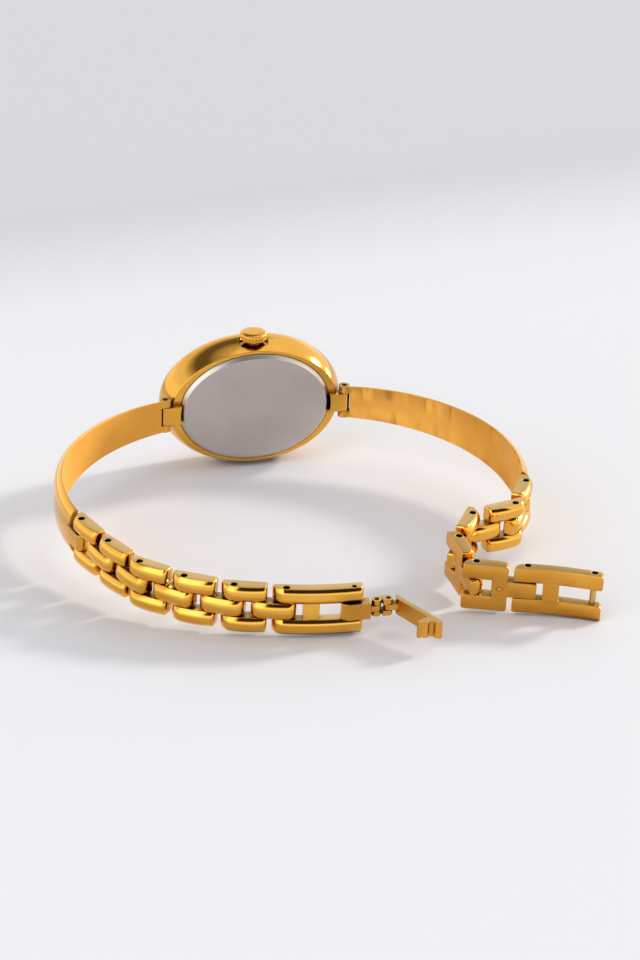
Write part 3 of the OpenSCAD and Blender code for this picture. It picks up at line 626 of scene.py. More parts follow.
def make_frame(end_r):
    """End frame: long curved rails hollow inside, and a crossbar, open toward the end pin."""
    piece = rail_pair("frame_master", -RAIL_BACK, FRAME_REACH + FRAME_OVER, arc_r=FRAME_ARC * LONG_R,
                      hollow=FRAME_HOLLOW, dome=FRAME_DOME)
    join(piece, across_middle(BRICK_START, RAIL_END, CROSSBAR_BASE - LINK_T / 2, LINK_T / 2 - CROSSBAR_SUNK))
    cut_bores(piece, [((0, 0, 0), PIN_R + HOLD_GAP), ((FRAME_REACH, 0, 0), end_r + HOLD_GAP)], BAND_W + PAST)
    paint_faces(piece, link_finish)
    return soften(piece, BAND_EDGE, segments=4)


# The one link with a punched ring on its inside, the ring's place and radii, and the lengths of the cylinders
# that cut it out and fill its middle, both centred on the surface
PUNCHED = ("12", 5)
PUNCH_AT = (2.9, -LINK_T / 2, 0.0)
PUNCH_OUT_R = 0.36
PUNCH_IN_R = 0.24
PUNCH_CUT = 0.1
PUNCH_FILL = 0.098


def build_chain():
    """Ten links and two end frames; the punched link is the last one, so its ring is on no other."""
    link = make_link()
    ends = {"6": make_frame(CLASP_PIN_R), "12": make_frame(CATCH_R)}
    for side in SIDES:
        for i in LINKS:
            if (side, i) == PUNCHED:
                join(link, lambda bm: cylinder(bm, PUNCH_AT, PUNCH_OUT_R, PUNCH_CUT, axis="y"), "DIFFERENCE")
                join(link, lambda bm: cylinder(bm, PUNCH_AT, PUNCH_IN_R, PUNCH_FILL, axis="y"))
            copy_at(link, f"h_link_{side}_{i}", chain_frame(side, i - 1), f"link_{side}_{i}",
                    [f"link_{side}_{i}"])
        copy_at(ends[side], f"end_frame_{side}", chain_frame(side, len(LINKS)), f"frame_{side}",
                [f"frame_{side}"])
    for master in (link, *ends.values()):
        bpy.data.objects.remove(master)


# Strips, each in a frame round the middle of its arc: x to the lug pin, y toward the link pin

# How far behind the case's back a point inside the bracelet's ring lies
INSIDE_RING = 20.0
# A strip's section: how far its inside stands in at the edges, its thickness there, and the steps, power and
# root of its crown
STRIP_LIP = 0.06
STRIP_THIN = 0.1
STRIP_STEPS = 32
STRIP_POWER = 4
STRIP_ROOT = 0.6
# It reaches its full width this many times sooner than its end
STRIP_WIDENS = 1.25
ARC_STEPS = 80
TONGUE_STEPS = 8
TONGUE_LAP = 0.02
TONGUE_OVER = 0.05
# What counts as a strip's side and as its outside
STRIP_SIDE = 0.98
STRIP_OUTSIDE = 0.1

def strip_frame(side):
    """A strip's frame and the angle of its arc, between its two pins."""
    lug, end = pin_of(f"bangle_{side}_hinge"), pin_of(f"link_{side}_1_hinge")
    middle = (lug + end) / 2
    across = UP.cross(end - lug).normalized()
    if across.dot(middle - (BACK - INSIDE_RING * MM * DIAL_OUT)) < 0:
        across = -across
    half = (end - lug).length / 2
    centre = middle - across * math.sqrt((STRIP_MID_R * MM) ** 2 - half ** 2)
    x_dir = (lug - centre).normalized()
    z_dir = x_dir.cross(end - centre).normalized()
    return frame_at(centre, x_dir, z_dir.cross(x_dir), z_dir), (lug - centre).angle(end - centre)


def strip_section(w):
    """(radius, z) round a strip's section: flat inside with thin edges, crowned outside."""
    inside = STRIP_R - STRIP_T
    points = [(inside, -w / 2 + STRIP_LIP), (inside, 0.0), (inside, w / 2 - STRIP_LIP)]
    for k in range(STRIP_STEPS + 1):
        share = math.cos(math.pi * k / STRIP_STEPS)
        rise = (STRIP_T - STRIP_THIN) * (1 - abs(share) ** STRIP_POWER) ** STRIP_ROOT
        points.append((inside + STRIP_THIN + rise, share * w / 2))
    return points


def on_arc(radius, angle, z):
    return (radius * math.cos(angle), radius * math.sin(angle), z)


def strip_finish(centre, normal):
    """Polished outside, satin sides, brushed inside."""
    outward = Vector((centre.x, centre.y, 0)).normalized()
    if abs(normal.z) > STRIP_SIDE:
        return SIDE
    if normal.dot(outward) > STRIP_OUTSIDE:
        return OUTSIDE
    return INSIDE


def make_strip(sweep):
    """Rigid strip: fork for the lug, domed arc that widens, and a tongue for the first link."""
    solid = sweep - 2 * math.asin((PITCH - RAIL_END) / 2 / STRIP_MID_R)
    bm = bmesh.new()
    rings = []
    for k in range(ARC_STEPS + 1):
        share = k / ARC_STEPS
        w = STRIP_W + (BAND_W - STRIP_W) * min(1.0, share * STRIP_WIDENS)
        rings.append([on_arc(radius, solid * share, z) for radius, z in strip_section(w)])
    loft(bm, rings)
    piece = make_object("strip_master", bm, [POLISHED, SATIN, STRIP_INSIDE])
    lug = on_arc(STRIP_MID_R, 0, 0)
    end = on_arc(STRIP_MID_R, sweep, 0)

    def tines(bm):
        for side in (-1, 1):
            cylinder(bm, (lug[0], lug[1], side * (TINE_GAP + STRIP_W / 2) / 2), LUG_R, STRIP_W / 2 - TINE_GAP,
                     segments=FINE)

    def tongue(bm):
        low, high = STRIP_MID_R - TONGUE_T / 2, STRIP_MID_R + TONGUE_T / 2
        half = BRICK_W / 2
        section = [(low, -half), (low, half), (high, half), (high, -half)]
        start = solid - TONGUE_LAP
        loft(bm, [[on_arc(radius, start + (sweep - solid + TONGUE_LAP) * k / TONGUE_STEPS, z)
                   for radius, z in section] for k in range(TONGUE_STEPS + 1)])

    join(piece, tines)
    join(piece, tongue)
    join(piece, lambda bm: cylinder(bm, end, TONGUE_T / 2 + TONGUE_OVER, BRICK_W, segments=FINE))
    join(piece, lambda bm: cylinder(bm, lug, LUG_R + LUG_SLOT, 2 * TINE_GAP, segments=FINE), "DIFFERENCE")
    cut_bores(piece, [(lug, LUG_PIN_R + HOLD_GAP), (end, PIN_R + TURN_GAP)], BAND_W + PAST)
    paint_faces(piece, strip_finish)
    return soften(piece, STRIP_EDGE)


def build_strips():
    for side in SIDES:
        place, sweep = strip_frame(side)
        strip = make_strip(sweep)
        copy_at(strip, f"strip_{side}", place, f"bangle_{side}", [f"bangle_{side}"])
        bpy.data.objects.remove(strip)


# Case, back, crystal and crown

# Points round an oval, and round the ovals of the back, where they show most
OVAL = 160
BACK_OVAL = 192
CASE_LEVELS = 36
CRYSTAL_LEVELS = 17
# The case is widest at this share of its height, and draws in by this power above it
WIDEST_AT = 0.62
BEZEL_CURVE = 2.2
KNUCKLE_ROOM = 0.3
# Gap round the back and its snap rib, the rib's thickness, and its start and end over the back's inside
BACK_GAP = 0.05
BACK_SEAT = 0.25
RIB_T = 0.55
RIB_FROM = 0.1
RIB_TO = 0.3
# The back's flat has a ring of points this far inside its edge, and its faces lie this low
BACK_RING = 0.3
BACK_FLAT_Y = 0.02
# Where the cut for the dial's opening starts, the seat that carries the crystal, the gasket's room round it,
# the gap under it, and how much of its dome is used
OPENING_FROM = 1.0
CRYSTAL_SEAT = 0.7
GASKET_ROOM = 0.45
SEAT_GAP = 0.05
DOME_SHARE = 0.92
# The tube's bore, as its middle, length and radius, and the well round the crown
TUBE_BORE = (7.5, 5.0, 0.765)
CROWN_ROOM = 0.15
WELL_H = 2.0


def oval_ring(a, b, y, count=OVAL):
    """Points round an oval in the case's frame, at a height over the back."""
    return [(a * math.cos(2 * math.pi * k / count), y, b * math.sin(2 * math.pi * k / count))
            for k in range(count)]


def oval_solid(a, b, y0, y1):
    return lambda bm: loft(bm, [oval_ring(a, b, y0), oval_ring(a, b, y1)])


def side_in(share):
    """How far the case side stands in from its widest, at a share of its height."""
    if share < WIDEST_AT:
        return CASE_UNDER * (1 - share / WIDEST_AT) ** 2
    return BEZEL_IN * ((share - WIDEST_AT) / (1 - WIDEST_AT)) ** BEZEL_CURVE


def knuckle_rooms(bm):
    """Room in the case for the forks of the strips."""
    for end in (-1, 1):
        for side in (-1, 1):
            cylinder(bm, (end * LUG_X, LUG_Y, side * (TINE_GAP + STRIP_W) / 2), LUG_R + KNUCKLE_ROOM,
                     STRIP_W - TINE_GAP + LAP, segments=FINE)


def lug_ends(bm):
    for end in (-1, 1):
        cylinder(bm, (end * LUG_X, LUG_Y, 0), LUG_R, LUG_W, segments=FINE)


def lug_roots(bm):
    for end in (-1, 1):
        low, high = sorted((end * BACK_L, end * LUG_X))
        cuboid(bm, (low, LUG_Y - LUG_R, -LUG_W / 2), (high, LUG_Y + LUG_R, LUG_W / 2))


def make_case():
    """Oval case side with its lugs, seats, and the well under the crown."""
    shares = [k / CASE_LEVELS for k in range(CASE_LEVELS + 1)]
    bm = bmesh.new()
    loft(bm, [oval_ring(HALF_L - side_in(share), HALF_W - side_in(share), SIDE_Y0 + SIDE_H * share)
              for share in shares])
    piece = make_object("case_side", bm, [CASE_GOLD])
    join(piece, knuckle_rooms, "DIFFERENCE")
    join(piece, lug_roots)
    join(piece, lug_ends)
    back_room = BACK_CHAMFER + BACK_GAP
    for a, b, y0, y1 in (
            (BACK_L + back_room, BACK_W + back_room, -PAST, BACK_T + BACK_SEAT),
            (CHAMBER_L, CHAMBER_W, 0.0, DIAL_Y + DIAL_T + SEAT_GAP),
            (CRYSTAL_L - CRYSTAL_SEAT, CRYSTAL_W - CRYSTAL_SEAT, OPENING_FROM, SIDE_Y1 + PAST / 2),
            (CRYSTAL_L + GASKET_ROOM, CRYSTAL_W + GASKET_ROOM, SIDE_Y1 - CRYSTAL_T, SIDE_Y1 + PAST / 2)):
        join(piece, oval_solid(a, b, y0, y1), "DIFFERENCE")
    cut_bores(piece, [((end * LUG_X, LUG_Y, 0), LUG_PIN_R + TURN_GAP) for end in (-1, 1)], LUG_W + PAST)
    middle, length, radius = TUBE_BORE
    join(piece, lambda bm: cylinder(bm, (0, STEM_Y, middle), radius, length), "DIFFERENCE")
    join(piece, lambda bm: cylinder(bm, (0, STEM_Y, CROWN_WELL_Z + WELL_H / 2), CROWN_R + CROWN_ROOM, WELL_H,
                                    segments=FINE), "DIFFERENCE")
    return soften(piece, CASE_EDGE)


def back_finish(centre, normal):
    """Matt flat, bright rim."""
    return OUTSIDE if normal.y < -SIDE_FACING and centre.y < BACK_FLAT_Y else SIDE


def make_back():
    """Snap-on back: matt flat, bright chamfer, and the rib inside that snaps into the case."""
    rim_l, rim_w = BACK_L + BACK_CHAMFER, BACK_W + BACK_CHAMFER
    bm = bmesh.new()
    loft(bm, [oval_ring(a, b, y, BACK_OVAL) for a, b, y in (
        (BACK_L - BACK_RING, BACK_W - BACK_RING, 0.0), (BACK_L, BACK_W, 0.0), (rim_l, rim_w, BACK_CHAMFER),
        (rim_l, rim_w, BACK_T))])
    piece = make_object("snap_back", bm, [BACK_MATT, BACK_RIM])

    def rib(bm):
        low, high, thick = BACK_T - RIB_FROM, BACK_T + RIB_TO, BACK_GAP + RIB_T
        rows = points_of(bm, [oval_ring(CHAMBER_L - inset, CHAMBER_W - inset, y, BACK_OVAL) for inset, y in (
            (BACK_GAP, low), (BACK_GAP, high), (thick, high), (thick, low))])
        skin(bm, rows + rows[:1])
    join(piece, rib)
    paint_faces(piece, back_finish)
    return soften(piece, BACK_EDGE, segments=2, angle=25)


def make_crystal():
    """Mineral crystal with a low dome."""
    base = SIDE_Y1 - CRYSTAL_T + SEAT_GAP
    rings = [oval_ring(CRYSTAL_L, CRYSTAL_W, base)]
    for k in range(CRYSTAL_LEVELS):
        share = math.sin(math.radians(90 * k / CRYSTAL_LEVELS))
        size = math.sqrt(1 - share ** 2)
        rings.append(oval_ring(CRYSTAL_L * size, CRYSTAL_W * size,
                               base + CRYSTAL_T + CRYSTAL_DOME * share * DOME_SHARE))
    bm = bmesh.new()
    loft(bm, rings)
    return soften(make_object("domed_crystal", bm, [CRYSTAL]), CRYSTAL_EDGE, segments=2)


# Crown: its height, how far its radius stands in and the share of the grooves' depth, from its inner end out
CROWN_SHAPE = [(0.0, 0.12, 0.4), (0.04, 0.05, 0.8), (0.12, 0.0, 1.0), (CROWN_L - 0.3, 0.0, 1.0),
               (CROWN_L - 0.2, 0.06, 0.8), (CROWN_L - 0.1, 0.2, 0.3), (CROWN_L - 0.04, 0.4, 0.0),
               (CROWN_L - 0.01, 0.75, 0.0), (CROWN_L, CROWN_R - 0.3, 0.0)]
GROOVE_D = 0.1
GROOVE_POINTS = 8
# Hollows for the tube and the stem: middle over the crown's inner end, length, radius
CROWN_HOLLOWS = [(0.1, 0.7, 0.87), (0.3, 1.0, 0.3)]


def make_crown():
    """Fluted crown with a domed end, hollow over the tube."""
    turns = [2 * math.pi * k / (TEETH * GROOVE_POINTS) for k in range(TEETH * GROOVE_POINTS)]
    rings = []
    for z, stands_in, flute in CROWN_SHAPE:
        ring = []
        for a in turns:
            groove = max(0.0, math.cos(TEETH * a)) ** 2
            radius = CROWN_R - stands_in - GROOVE_D * flute * groove
            ring.append((radius * math.cos(a), STEM_Y + radius * math.sin(a), CROWN_Z + z))
        rings.append(ring)
    bm = bmesh.new()
    loft(bm, rings)
    piece = make_object("fluted_crown", bm, [CASE_GOLD])
    for middle, length, radius in CROWN_HOLLOWS:
        join(piece, lambda bm: cylinder(bm, (0, STEM_Y, CROWN_Z + middle), radius, length), "DIFFERENCE")
    return soften(piece, CROWN_EDGE, segments=2)


# Dial: its hole and the gap round it, how far the markers' middles and the track stand in from the crystal's
# edge, half the length of long and short markers, and the sizes of the strokes
DIAL_TOP = DIAL_Y + DIAL_T
DIAL_HOLE_R = 0.67
DIAL_GAP = 0.05
MARKERS_IN = 1.9
MARKER_LONG = 0.55
MARKER_SHORT = 0.4
MARKER_HALF_W = 0.1
MARKER_BEVEL = 0.08
# Heights of a marker's foot, shoulder and ridge over the dial
MARKER_HEIGHTS = (-0.01, 0.05, 0.1)
TRACK_IN = 0.95
TRACK_UP = 0.012
TRACK_T = 0.01
TRACK_LINE = 0.04
STROKE_FROM = 0.97
STROKE_HALF_W = 0.035
HOUR_STROKE_HALF_W = 0.06


def at_turn(along, aside, a):
    """A point along a direction at angle a on the dial, and aside from it."""
    return along * math.cos(a) - aside * math.sin(a), along * math.sin(a) + aside * math.cos(a)


def make_dial():
    """Lacquered dial with a hole for the hands."""
    bm = bmesh.new()
    loft(bm, [oval_ring(CHAMBER_L - DIAL_GAP, CHAMBER_W - DIAL_GAP, y) for y in (DIAL_Y, DIAL_TOP)])
    piece = make_object("lacquer_dial", bm, [DIAL])
    join(piece, lambda bm: cylinder(bm, (0, DIAL_Y, 0), DIAL_HOLE_R, 2 * PAST, axis="y"), "DIFFERENCE")
    return soften(piece, DIAL_EDGE, segments=2)


def make_markers():
    """Twelve faceted bars on the dial, longer at 12, 3, 6 and 9."""
    bm = bmesh.new()
    w = MARKER_HALF_W
    for hour in range(12):
        a = math.radians(hour * 30)
        half = MARKER_SHORT if hour % 3 else MARKER_LONG
        base = [(-half, -w), (half, -w), (half, w), (-half, w)]
        ridge = [(MARKER_BEVEL - half, 0.0), (half - MARKER_BEVEL, 0.0)]
        rows = []
        for outline, height in zip((base, base, ridge), MARKER_HEIGHTS):
            rows.append([])
            for along, aside in outline:
                x, z = at_turn(along, aside, a)
                rows[-1].append(bm.verts.new(((CRYSTAL_L - MARKERS_IN) * math.cos(a) + x, DIAL_TOP + height,
                                              (CRYSTAL_W - MARKERS_IN) * math.sin(a) + z)))
        low, mid, ends = rows
        bm.faces.new(low)
        skin(bm, [low, mid])
        for face in ((mid[0], mid[1], ends[1], ends[0]), (mid[2], mid[3], ends[0], ends[1]),
                     (mid[1], mid[2], ends[1]), (mid[3], mid[0], ends[0])):
            bm.faces.new(face)
    return make_object("hour_markers", bm, [POLISHED])


def make_track():
    """Printed minute strokes and a fine oval line round the dial."""
    bm = bmesh.new()
    a, b, y = CRYSTAL_L - TRACK_IN, CRYSTAL_W - TRACK_IN, DIAL_TOP + TRACK_UP
    for minute in range(60):
        turn = math.radians(minute * 6)
        half = STROKE_HALF_W if minute % 5 else HOUR_STROKE_HALF_W
        bm.faces.new([bm.verts.new((a * share * math.cos(turn) - side * half * math.sin(turn), y,
                                    b * share * math.sin(turn) + side * half * math.cos(turn)))
                      for share, side in ((STROKE_FROM, -1), (1.0, -1), (1.0, 1), (STROKE_FROM, 1))])
    skin(bm, points_of(bm, [oval_ring(a - inset, b - inset, y) for inset in (0.0, TRACK_LINE)]))
    piece = make_object("minute_track", bm, [PRINT])
    thick = piece.modifiers.new("thick", "SOLIDIFY")
    thick.thickness = TRACK_T * MM
    thick.offset = -1
    return piece


# A hand's half width, its leaf as shares of length and half width, its shoulder as a share of its thickness,
# and the sides of its boss
HAND_HALF_W = 0.4
LEAF = [(0.0, 0.6), (0.2, 0.8), (0.45, 1.0), (0.75, 0.52)]
SHOULDER = 0.4
BOSS_SIDES = 48


def make_hand(name, length, boss_r, y, degrees, hole_r):
    """Leaf hand with a ridge along its middle and a round boss."""
    a = math.radians(degrees)
    side = [(length * share, HAND_HALF_W * width) for share, width in LEAF]
    outline = [(x, -z) for x, z in side] + [(length, 0.0)] + side[::-1]
    bm = bmesh.new()

    def row(points, height):
        made = []
        for point in points:
            x, z = at_turn(*point, a)
            made.append(bm.verts.new((x, y + height, z)))
        return made

    low = row(outline, 0.0)
    mid = row(outline, HAND_T * SHOULDER)
    ridge = row([(x, 0.0) for x, _ in side], HAND_T)
    last = len(outline) - 1
    bm.faces.new(low)
    skin(bm, [low, mid])
    for i in range(len(ridge) - 1):
        bm.faces.new((mid[i], mid[i + 1], ridge[i + 1], ridge[i]))
        bm.faces.new((mid[last - i], mid[last - 1 - i], ridge[i + 1], ridge[i]))
    for face in ((mid[3], mid[4], ridge[3]), (mid[4], mid[5], ridge[3]), (mid[last], mid[0], ridge[0])):
        bm.faces.new(face)
    piece = make_object(name, bm, [HAND_GOLD])
    middle = (0, y + HAND_T / 2, 0)
    join(piece, lambda bm: cylinder(bm, middle, boss_r, HAND_T, axis="y", segments=BOSS_SIDES))
    if hole_r:
        join(piece, lambda bm: cylinder(bm, middle, hole_r, PAST, axis="y"), "DIFFERENCE")
    return soften(piece, HAND_EDGE, segments=2, angle=20)


# Each hand: length, radius of its boss, height, angle from 12 o'clock, and radius of its hole
MINUTE_HAND = dict(length=5.4, boss_r=0.54, y=MINUTE_HAND_Y, degrees=60, hole_r=0)
HOUR_HAND = dict(length=3.7, boss_r=0.77, y=HOUR_HAND_Y, degrees=-55, hole_r=0.37)


def build_case():
    for piece, name, body, nodes, slot in (
            (make_case(), "case_ring", "case", ["case_middle"], "case_gold"),
            (make_back(), "back_plate", "case", ["case_back"], "back_steel"),
            (make_crystal(), "crystal_dome", "case", ["crystal"], "crystal"),
            (make_dial(), "dial_plate", "case", ["dial"], "dial"),
            (make_markers(), "dial_markers", "case", [], "hands"),
            (make_track(), "dial_track", "case", [], "dial"),
            (make_crown(), "crown_knob", "crown", ["crown"], "case_gold"),
            (make_hand("minute", **MINUTE_HAND), "hand_minute", "minute_hand", ["minute_hand"], "hands"),
            (make_hand("hour", **HOUR_HAND), "hand_hour", "hour_hand", ["hour_hand"], "hands")):
        copy_at(piece, name, CASE, body, nodes)
        bpy.data.objects.remove(piece)


# Clasp, each piece drawn from its side outline

BLOCK_OUTLINE = [(-1.5, 0.1), (-1.5, -0.45), (-0.95, -0.8), (-0.85, -0.93), (1.8, -0.93), (1.9, -0.83),
                 (1.9, 0.45), (0, 0.6)]
BLOCK_PIN_R = CLASP_PIN_R + 0.5
TONGUE_FROM = 0.5
PLATE_OUTLINE = [(0, -0.1), (0.7, -0.1), (0.7, -KNUCKLE_R), (PLATES_REACH, -KNUCKLE_R),
                 (PLATES_REACH, KNUCKLE_R), (0, KNUCKLE_R)]
PLATE_GAP = 0.1
PLATE_CUT = 1.5
LEVER_OUTLINE = [(-0.1, 1.275), (0.75, 0.625), (5.8, 0.625), (5.8, -0.875), (5.9, -1.025), (7.7, 0.775),
                 (7.8, 0.975), (7.8, 1.125), (7.65, 1.275)]
# The foot's bead, the middle of its groove for the catch bar, and the arm's web to its pin
BEAD_AT = (6.02, -0.805, 0)
BEAD_R = 0.22
GROOVE_AT = (7.092, 0.087, 0)
WEB_OUTLINE = [(-0.44, 0.4), (-0.1, 0.95), (1.2, 0.95), (0.495, -0.3)]


def prism(bm, outline, width, z=0.0):
    """Solid of a side outline, as wide as given across the band, round a height."""
    low, high = points_of(bm, [[(x, y, z + side * width / 2) for x, y in outline] for side in (-1, 1)])
    bm.faces.new(low)
    bm.faces.new(list(reversed(high)))
    for i in range(len(outline)):
        j = (i + 1) % len(outline)
        bm.faces.new((low[i], high[i], high[j], low[j]))


def clasp_frame(joint, head=None, toward=None):
    """Frame on a clasp pin: x to the next pin or along a heading, z across."""
    origin = pin_of(joint)
    if toward:
        x_dir = (pin_of(toward) - origin).normalized()
    else:
        x_dir = math.cos(math.radians(head)) * ALONG + math.sin(math.radians(head)) * DIAL_OUT
    return frame_at(origin, x_dir, UP.cross(x_dir), UP)


def clasp_finish(_, normal):
    """Plain outline faces, satin sides."""
    return SIDE if abs(normal.z) > SIDE_FACING else OUTSIDE


def clasp_piece(name, outline, width, z=0.0):
    bm = bmesh.new()
    prism(bm, outline, width, z)
    return make_object(name, bm, [CLASP_GOLD, SATIN])


def make_block():
    """Hinge block: its body round the first pin, and a tongue to the second."""
    piece = clasp_piece("block_master", BLOCK_OUTLINE, CLASP_W)
    reach, half = (BLOCK_REACH, 0, 0), TONGUE_W / 2
    join(piece, lambda bm: cylinder(bm, (0, 0, 0), BLOCK_PIN_R, CLASP_W, segments=FINE))
    join(piece, lambda bm: cuboid(bm, (TONGUE_FROM, -KNUCKLE_R, -half), (BLOCK_REACH, KNUCKLE_R, half)))
    join(piece, lambda bm: cylinder(bm, reach, KNUCKLE_R, TONGUE_W, segments=FINE))
    cut_bores(piece, [(centre, CLASP_PIN_R + TURN_GAP) for centre in ((0, 0, 0), reach)], BAND_W)
    paint_faces(piece, clasp_finish)
    return soften(piece, CASE_EDGE)


def make_plate(side):
    """Side plate on one side of the tongues."""
    z = side * (TONGUE_W + SIDE_PLATE_T + PLATE_GAP) / 2
    plate = clasp_piece("plate_master", PLATE_OUTLINE, SIDE_PLATE_T, z)
    for x in (0, PLATES_REACH):
        join(plate, lambda bm: cylinder(bm, (x, 0, z), KNUCKLE_R, SIDE_PLATE_T, segments=FINE))
    return cut_bores(plate, [((x, 0, z), CLASP_PIN_R + HOLD_GAP) for x in (0, PLATES_REACH)], PLATE_CUT)


def make_plates():
    """The two side plates as one mesh."""
    plates = [make_plate(side) for side in (-1, 1)]
    bm = bmesh.new()
    for plate in plates:
        bm.from_mesh(plate.data)
    piece, spent = plates
    bm.to_mesh(piece.data)
    bm.free()
    bpy.data.objects.remove(spent)
    paint_faces(piece, clasp_finish)
    return soften(piece, PLATES_EDGE)


def make_lever():
    """Lever: flat arm beside its pin, and a slanted foot with the snap groove."""
    piece = clasp_piece("lever_master", LEVER_OUTLINE, CLASP_W)
    join(piece, lambda bm: cylinder(bm, BEAD_AT, BEAD_R, CLASP_W))
    join(piece, lambda bm: cylinder(bm, GROOVE_AT, CATCH_R + TURN_GAP, CLASP_W + PAST, segments=FINE),
         "DIFFERENCE")
    join(piece, lambda bm: prism(bm, WEB_OUTLINE, TONGUE_W))
    join(piece, lambda bm: cylinder(bm, (0, 0, 0), KNUCKLE_R, TONGUE_W, segments=FINE))
    cut_bores(piece, [((0, 0, 0), CLASP_PIN_R + TURN_GAP)], BAND_W)
    paint_faces(piece, clasp_finish)
    return soften(piece, CASE_EDGE)


def build_clasp():
    for piece, name, body, way in (
            (make_block(), "hinge_block", "clasp_block", {"toward": "clasp_plates_hinge"}),
            (make_plates(), "side_plates", "clasp_plates", {"toward": "clasp_lever_hinge"}),
            (make_lever(), "snap_lever", "clasp_lever", {"head": LEVER_HEAD})):
        copy_at(piece, name, clasp_frame(f"{body}_hinge", **way), body, [body])
        bpy.data.objects.remove(piece)


# Floor, light and camera

CAMERA_AT = Vector((-73.841, -290.79, 137.002)) * MM
VIEW_TURN = 14.733
VIEW_DOWN = 23.117
VIEW_ROLL = 0.776
LENS = 100.0
SENSOR = 36.0


def build_camera():
    camera = bpy.data.objects.new("camera", bpy.data.cameras.new("camera"))
    bpy.context.scene.collection.objects.link(camera)
    camera.data.sensor_fit = "VERTICAL"
    camera.data.sensor_height = SENSOR
    camera.data.lens = LENS
    camera.data.clip_start = 0.01
    turn = (Matrix.Rotation(math.radians(-VIEW_TURN), 4, "Z")
            @ Matrix.Rotation(math.radians(90 - VIEW_DOWN), 4, "X")
            @ Matrix.Rotation(math.radians(VIEW_ROLL), 4, "Z"))
    camera.matrix_world = Matrix.Translation(CAMERA_AT) @ turn
    bpy.context.scene.camera = camera


# Painted shade on the table: it is darker beyond a soft line behind the watch. A point of the line and its
# heading, half the width of the change in metres, and the tones across it
SHADE_AT = (-0.021, 0.114)
SHADE_LINE = 9.8
SHADE_REACH = 0.05
SHADE_TONES = [(0.0, (0.80, 0.80, 0.806)), (0.3, (0.775, 0.775, 0.782)), (0.5, (0.70, 0.70, 0.707)),
               (0.62, (0.645, 0.645, 0.655)), (0.72, (0.615, 0.615, 0.628)), (0.9, (0.63, 0.63, 0.643))]
FLOOR_HALF = 1500
FLOOR_ROUGH = (0.55, 0.7)
FLOOR_SPECULAR = 0.15


def build_floor():
    """Pale matt table, which isn't part of the watch, with painted shade beyond a soft line behind the watch."""
    bm = bmesh.new()
    bmesh.ops.create_grid(bm, x_segments=2, y_segments=2, size=FLOOR_HALF)
    material, nodes, links, shader = new_material("floor")
    coordinates = nodes.new("ShaderNodeTexCoord")
    mapping = nodes.new("ShaderNodeMapping")
    mapping.vector_type = "TEXTURE"
    mapping.inputs["Location"].default_value = (*SHADE_AT, 0)
    mapping.inputs["Rotation"].default_value = (0, 0, math.radians(SHADE_LINE))
    split = nodes.new("ShaderNodeSeparateXYZ")
    links.new(coordinates.outputs["Object"], mapping.inputs["Vector"])
    links.new(mapping.outputs["Vector"], split.inputs["Vector"])
    # Painted shade: the base colour darkens across the soft line behind the watch
    across = map_range(nodes, links, split.outputs["Y"], (-SHADE_REACH, SHADE_REACH))
    links.new(ramp(nodes, links, across, SHADE_TONES), shader.inputs["Base Color"])
    grain = object_noise(nodes, links, 400.0, 6.0)
    links.new(map_range(nodes, links, grain, end=FLOOR_ROUGH), shader.inputs["Roughness"])
    shader.inputs["Specular IOR Level"].default_value = FLOOR_SPECULAR
    make_object("floor", bm, [material])


# What the gloss of the metal shows: patches of the world, each as its two azimuths, its two elevations, how
# soft its edge is and its colour. They are laid on in this order.
CEILING = (60.0, 225.0, 42.0, 84.0, 0.10, (0.12, 0.11, 0.10))
ROOM = (-119.0, -45.0, 23.0, 74.0, 0.02, (0.025, 0.025, 0.025))
WINDOW = (-165.0, -121.0, 8.0, 66.0, 0.05, (1.5, 1.57, 1.75))
LAMP = (14.0, 27.0, 2.5, 9.0, 0.02, (15.0, 15.0, 14.0))
# The rest of the world, from straight down to straight up
SKY_TONES = [(0.0, (0.85, 0.85, 0.86)), (0.5, (1.0, 0.995, 1.0)), (0.62, (0.98, 0.975, 0.99)),
             (0.72, (0.80, 0.795, 0.81)), (0.9, (0.85, 0.85, 0.87)), (1.0, (0.9, 0.9, 0.92))]
SKY_STRENGTH = 1.27
# The colour sockets of a mix node, which share their names with its other sockets
MIX_A, MIX_B, MIX_RESULT = 6, 7, 2


def world_step(nodes, links, value, start, end, share):
    """Step from 0 at start to 1 at end, times the share so far."""
    step = map_range(nodes, links, value, (start, end))
    if share is None:
        return step
    both = nodes.new("ShaderNodeMath")
    both.operation = "MULTIPLY"
    links.new(share, both.inputs[0])
    links.new(step, both.inputs[1])
    return both.outputs["Value"]


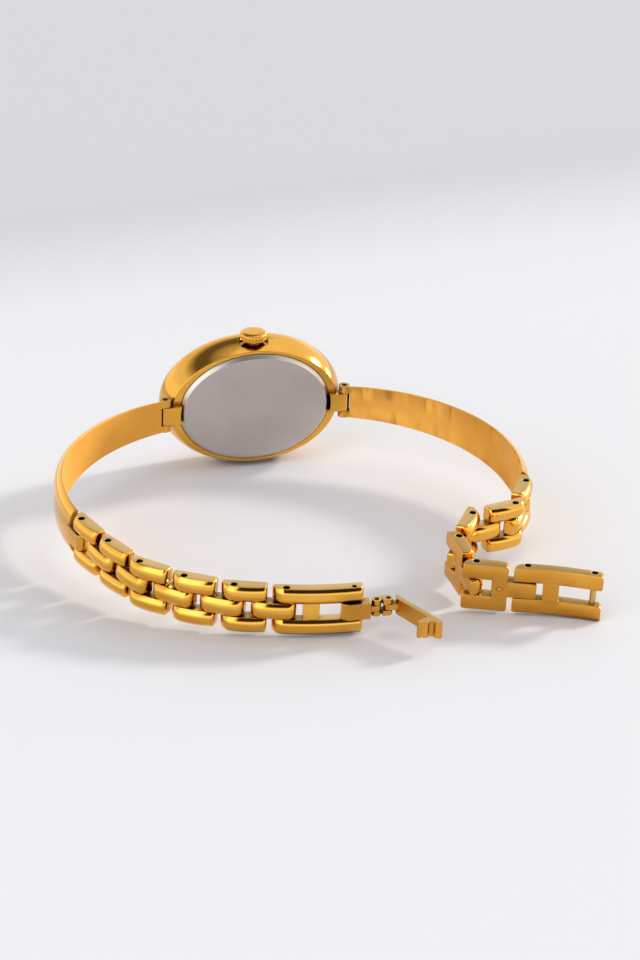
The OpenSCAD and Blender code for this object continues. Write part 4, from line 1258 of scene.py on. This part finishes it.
def world_patch(nodes, links, direction, height, patch):
    """1 inside the patch of the world and 0 outside it, with a soft edge."""
    left, right, low, high, edge, _ = patch
    share = None
    for azimuth, turn in ((left, 90), (right, -90)):
        dot = nodes.new("ShaderNodeVectorMath")
        dot.operation = "DOT_PRODUCT"
        a = math.radians(azimuth + turn)
        dot.inputs[1].default_value = (math.cos(a), math.sin(a), 0)
        links.new(direction, dot.inputs[0])
        share = world_step(nodes, links, dot.outputs["Value"], -edge, edge, share)
    for elevation, soft in ((low, edge), (high, -edge)):
        level = math.sin(math.radians(elevation))
        share = world_step(nodes, links, height, level - soft, level + soft, share)
    return share


def build_world():
    """Plain pale studio with a few patches that the metal reflects."""
    world = bpy.data.worlds.new("studio")
    bpy.context.scene.world = world
    world.use_nodes = True
    nodes, links = world.node_tree.nodes, world.node_tree.links
    background = nodes["Background"]
    direction = nodes.new("ShaderNodeTexCoord").outputs["Generated"]
    split = nodes.new("ShaderNodeSeparateXYZ")
    links.new(direction, split.inputs["Vector"])
    height = split.outputs["Z"]
    colour = ramp(nodes, links, map_range(nodes, links, height, (-1.0, 1.0)), SKY_TONES)
    for patch in (CEILING, ROOM, WINDOW, LAMP):
        mix = nodes.new("ShaderNodeMix")
        mix.data_type = "RGBA"
        mix.inputs[MIX_B].default_value = (*patch[-1], 1)
        links.new(world_patch(nodes, links, direction, height, patch), mix.inputs["Factor"])
        links.new(colour, mix.inputs[MIX_A])
        colour = mix.outputs[MIX_RESULT]
    links.new(colour, background.inputs["Color"])
    background.inputs["Strength"].default_value = SKY_STRENGTH


# Where the sun comes from, as seen from above and over the table, its width in degrees, power and colour
SUN_FROM = (0.96, 0.28)
SUN_UP = 25.0
SUN_WIDTH = 9
SUN_POWER = 1.9
SUN_COLOUR = (1.0, 0.98, 0.95)


def build_sun():
    sun = bpy.data.objects.new("sun", bpy.data.lights.new("sun", "SUN"))
    sun.data.energy = SUN_POWER
    sun.data.angle = math.radians(SUN_WIDTH)
    sun.data.color = SUN_COLOUR
    bpy.context.scene.collection.objects.link(sun)
    flat = math.cos(math.radians(SUN_UP))
    toward = Vector((SUN_FROM[0] * flat, SUN_FROM[1] * flat, math.sin(math.radians(SUN_UP))))
    sun.matrix_world = toward.to_track_quat("Z", "Y").to_matrix().to_4x4()


give_finishes()
build_chain()
build_strips()
build_case()
build_clasp()
build_floor()
build_world()
build_sun()
build_camera()
bpy.context.scene.view_settings.view_transform = "Standard"
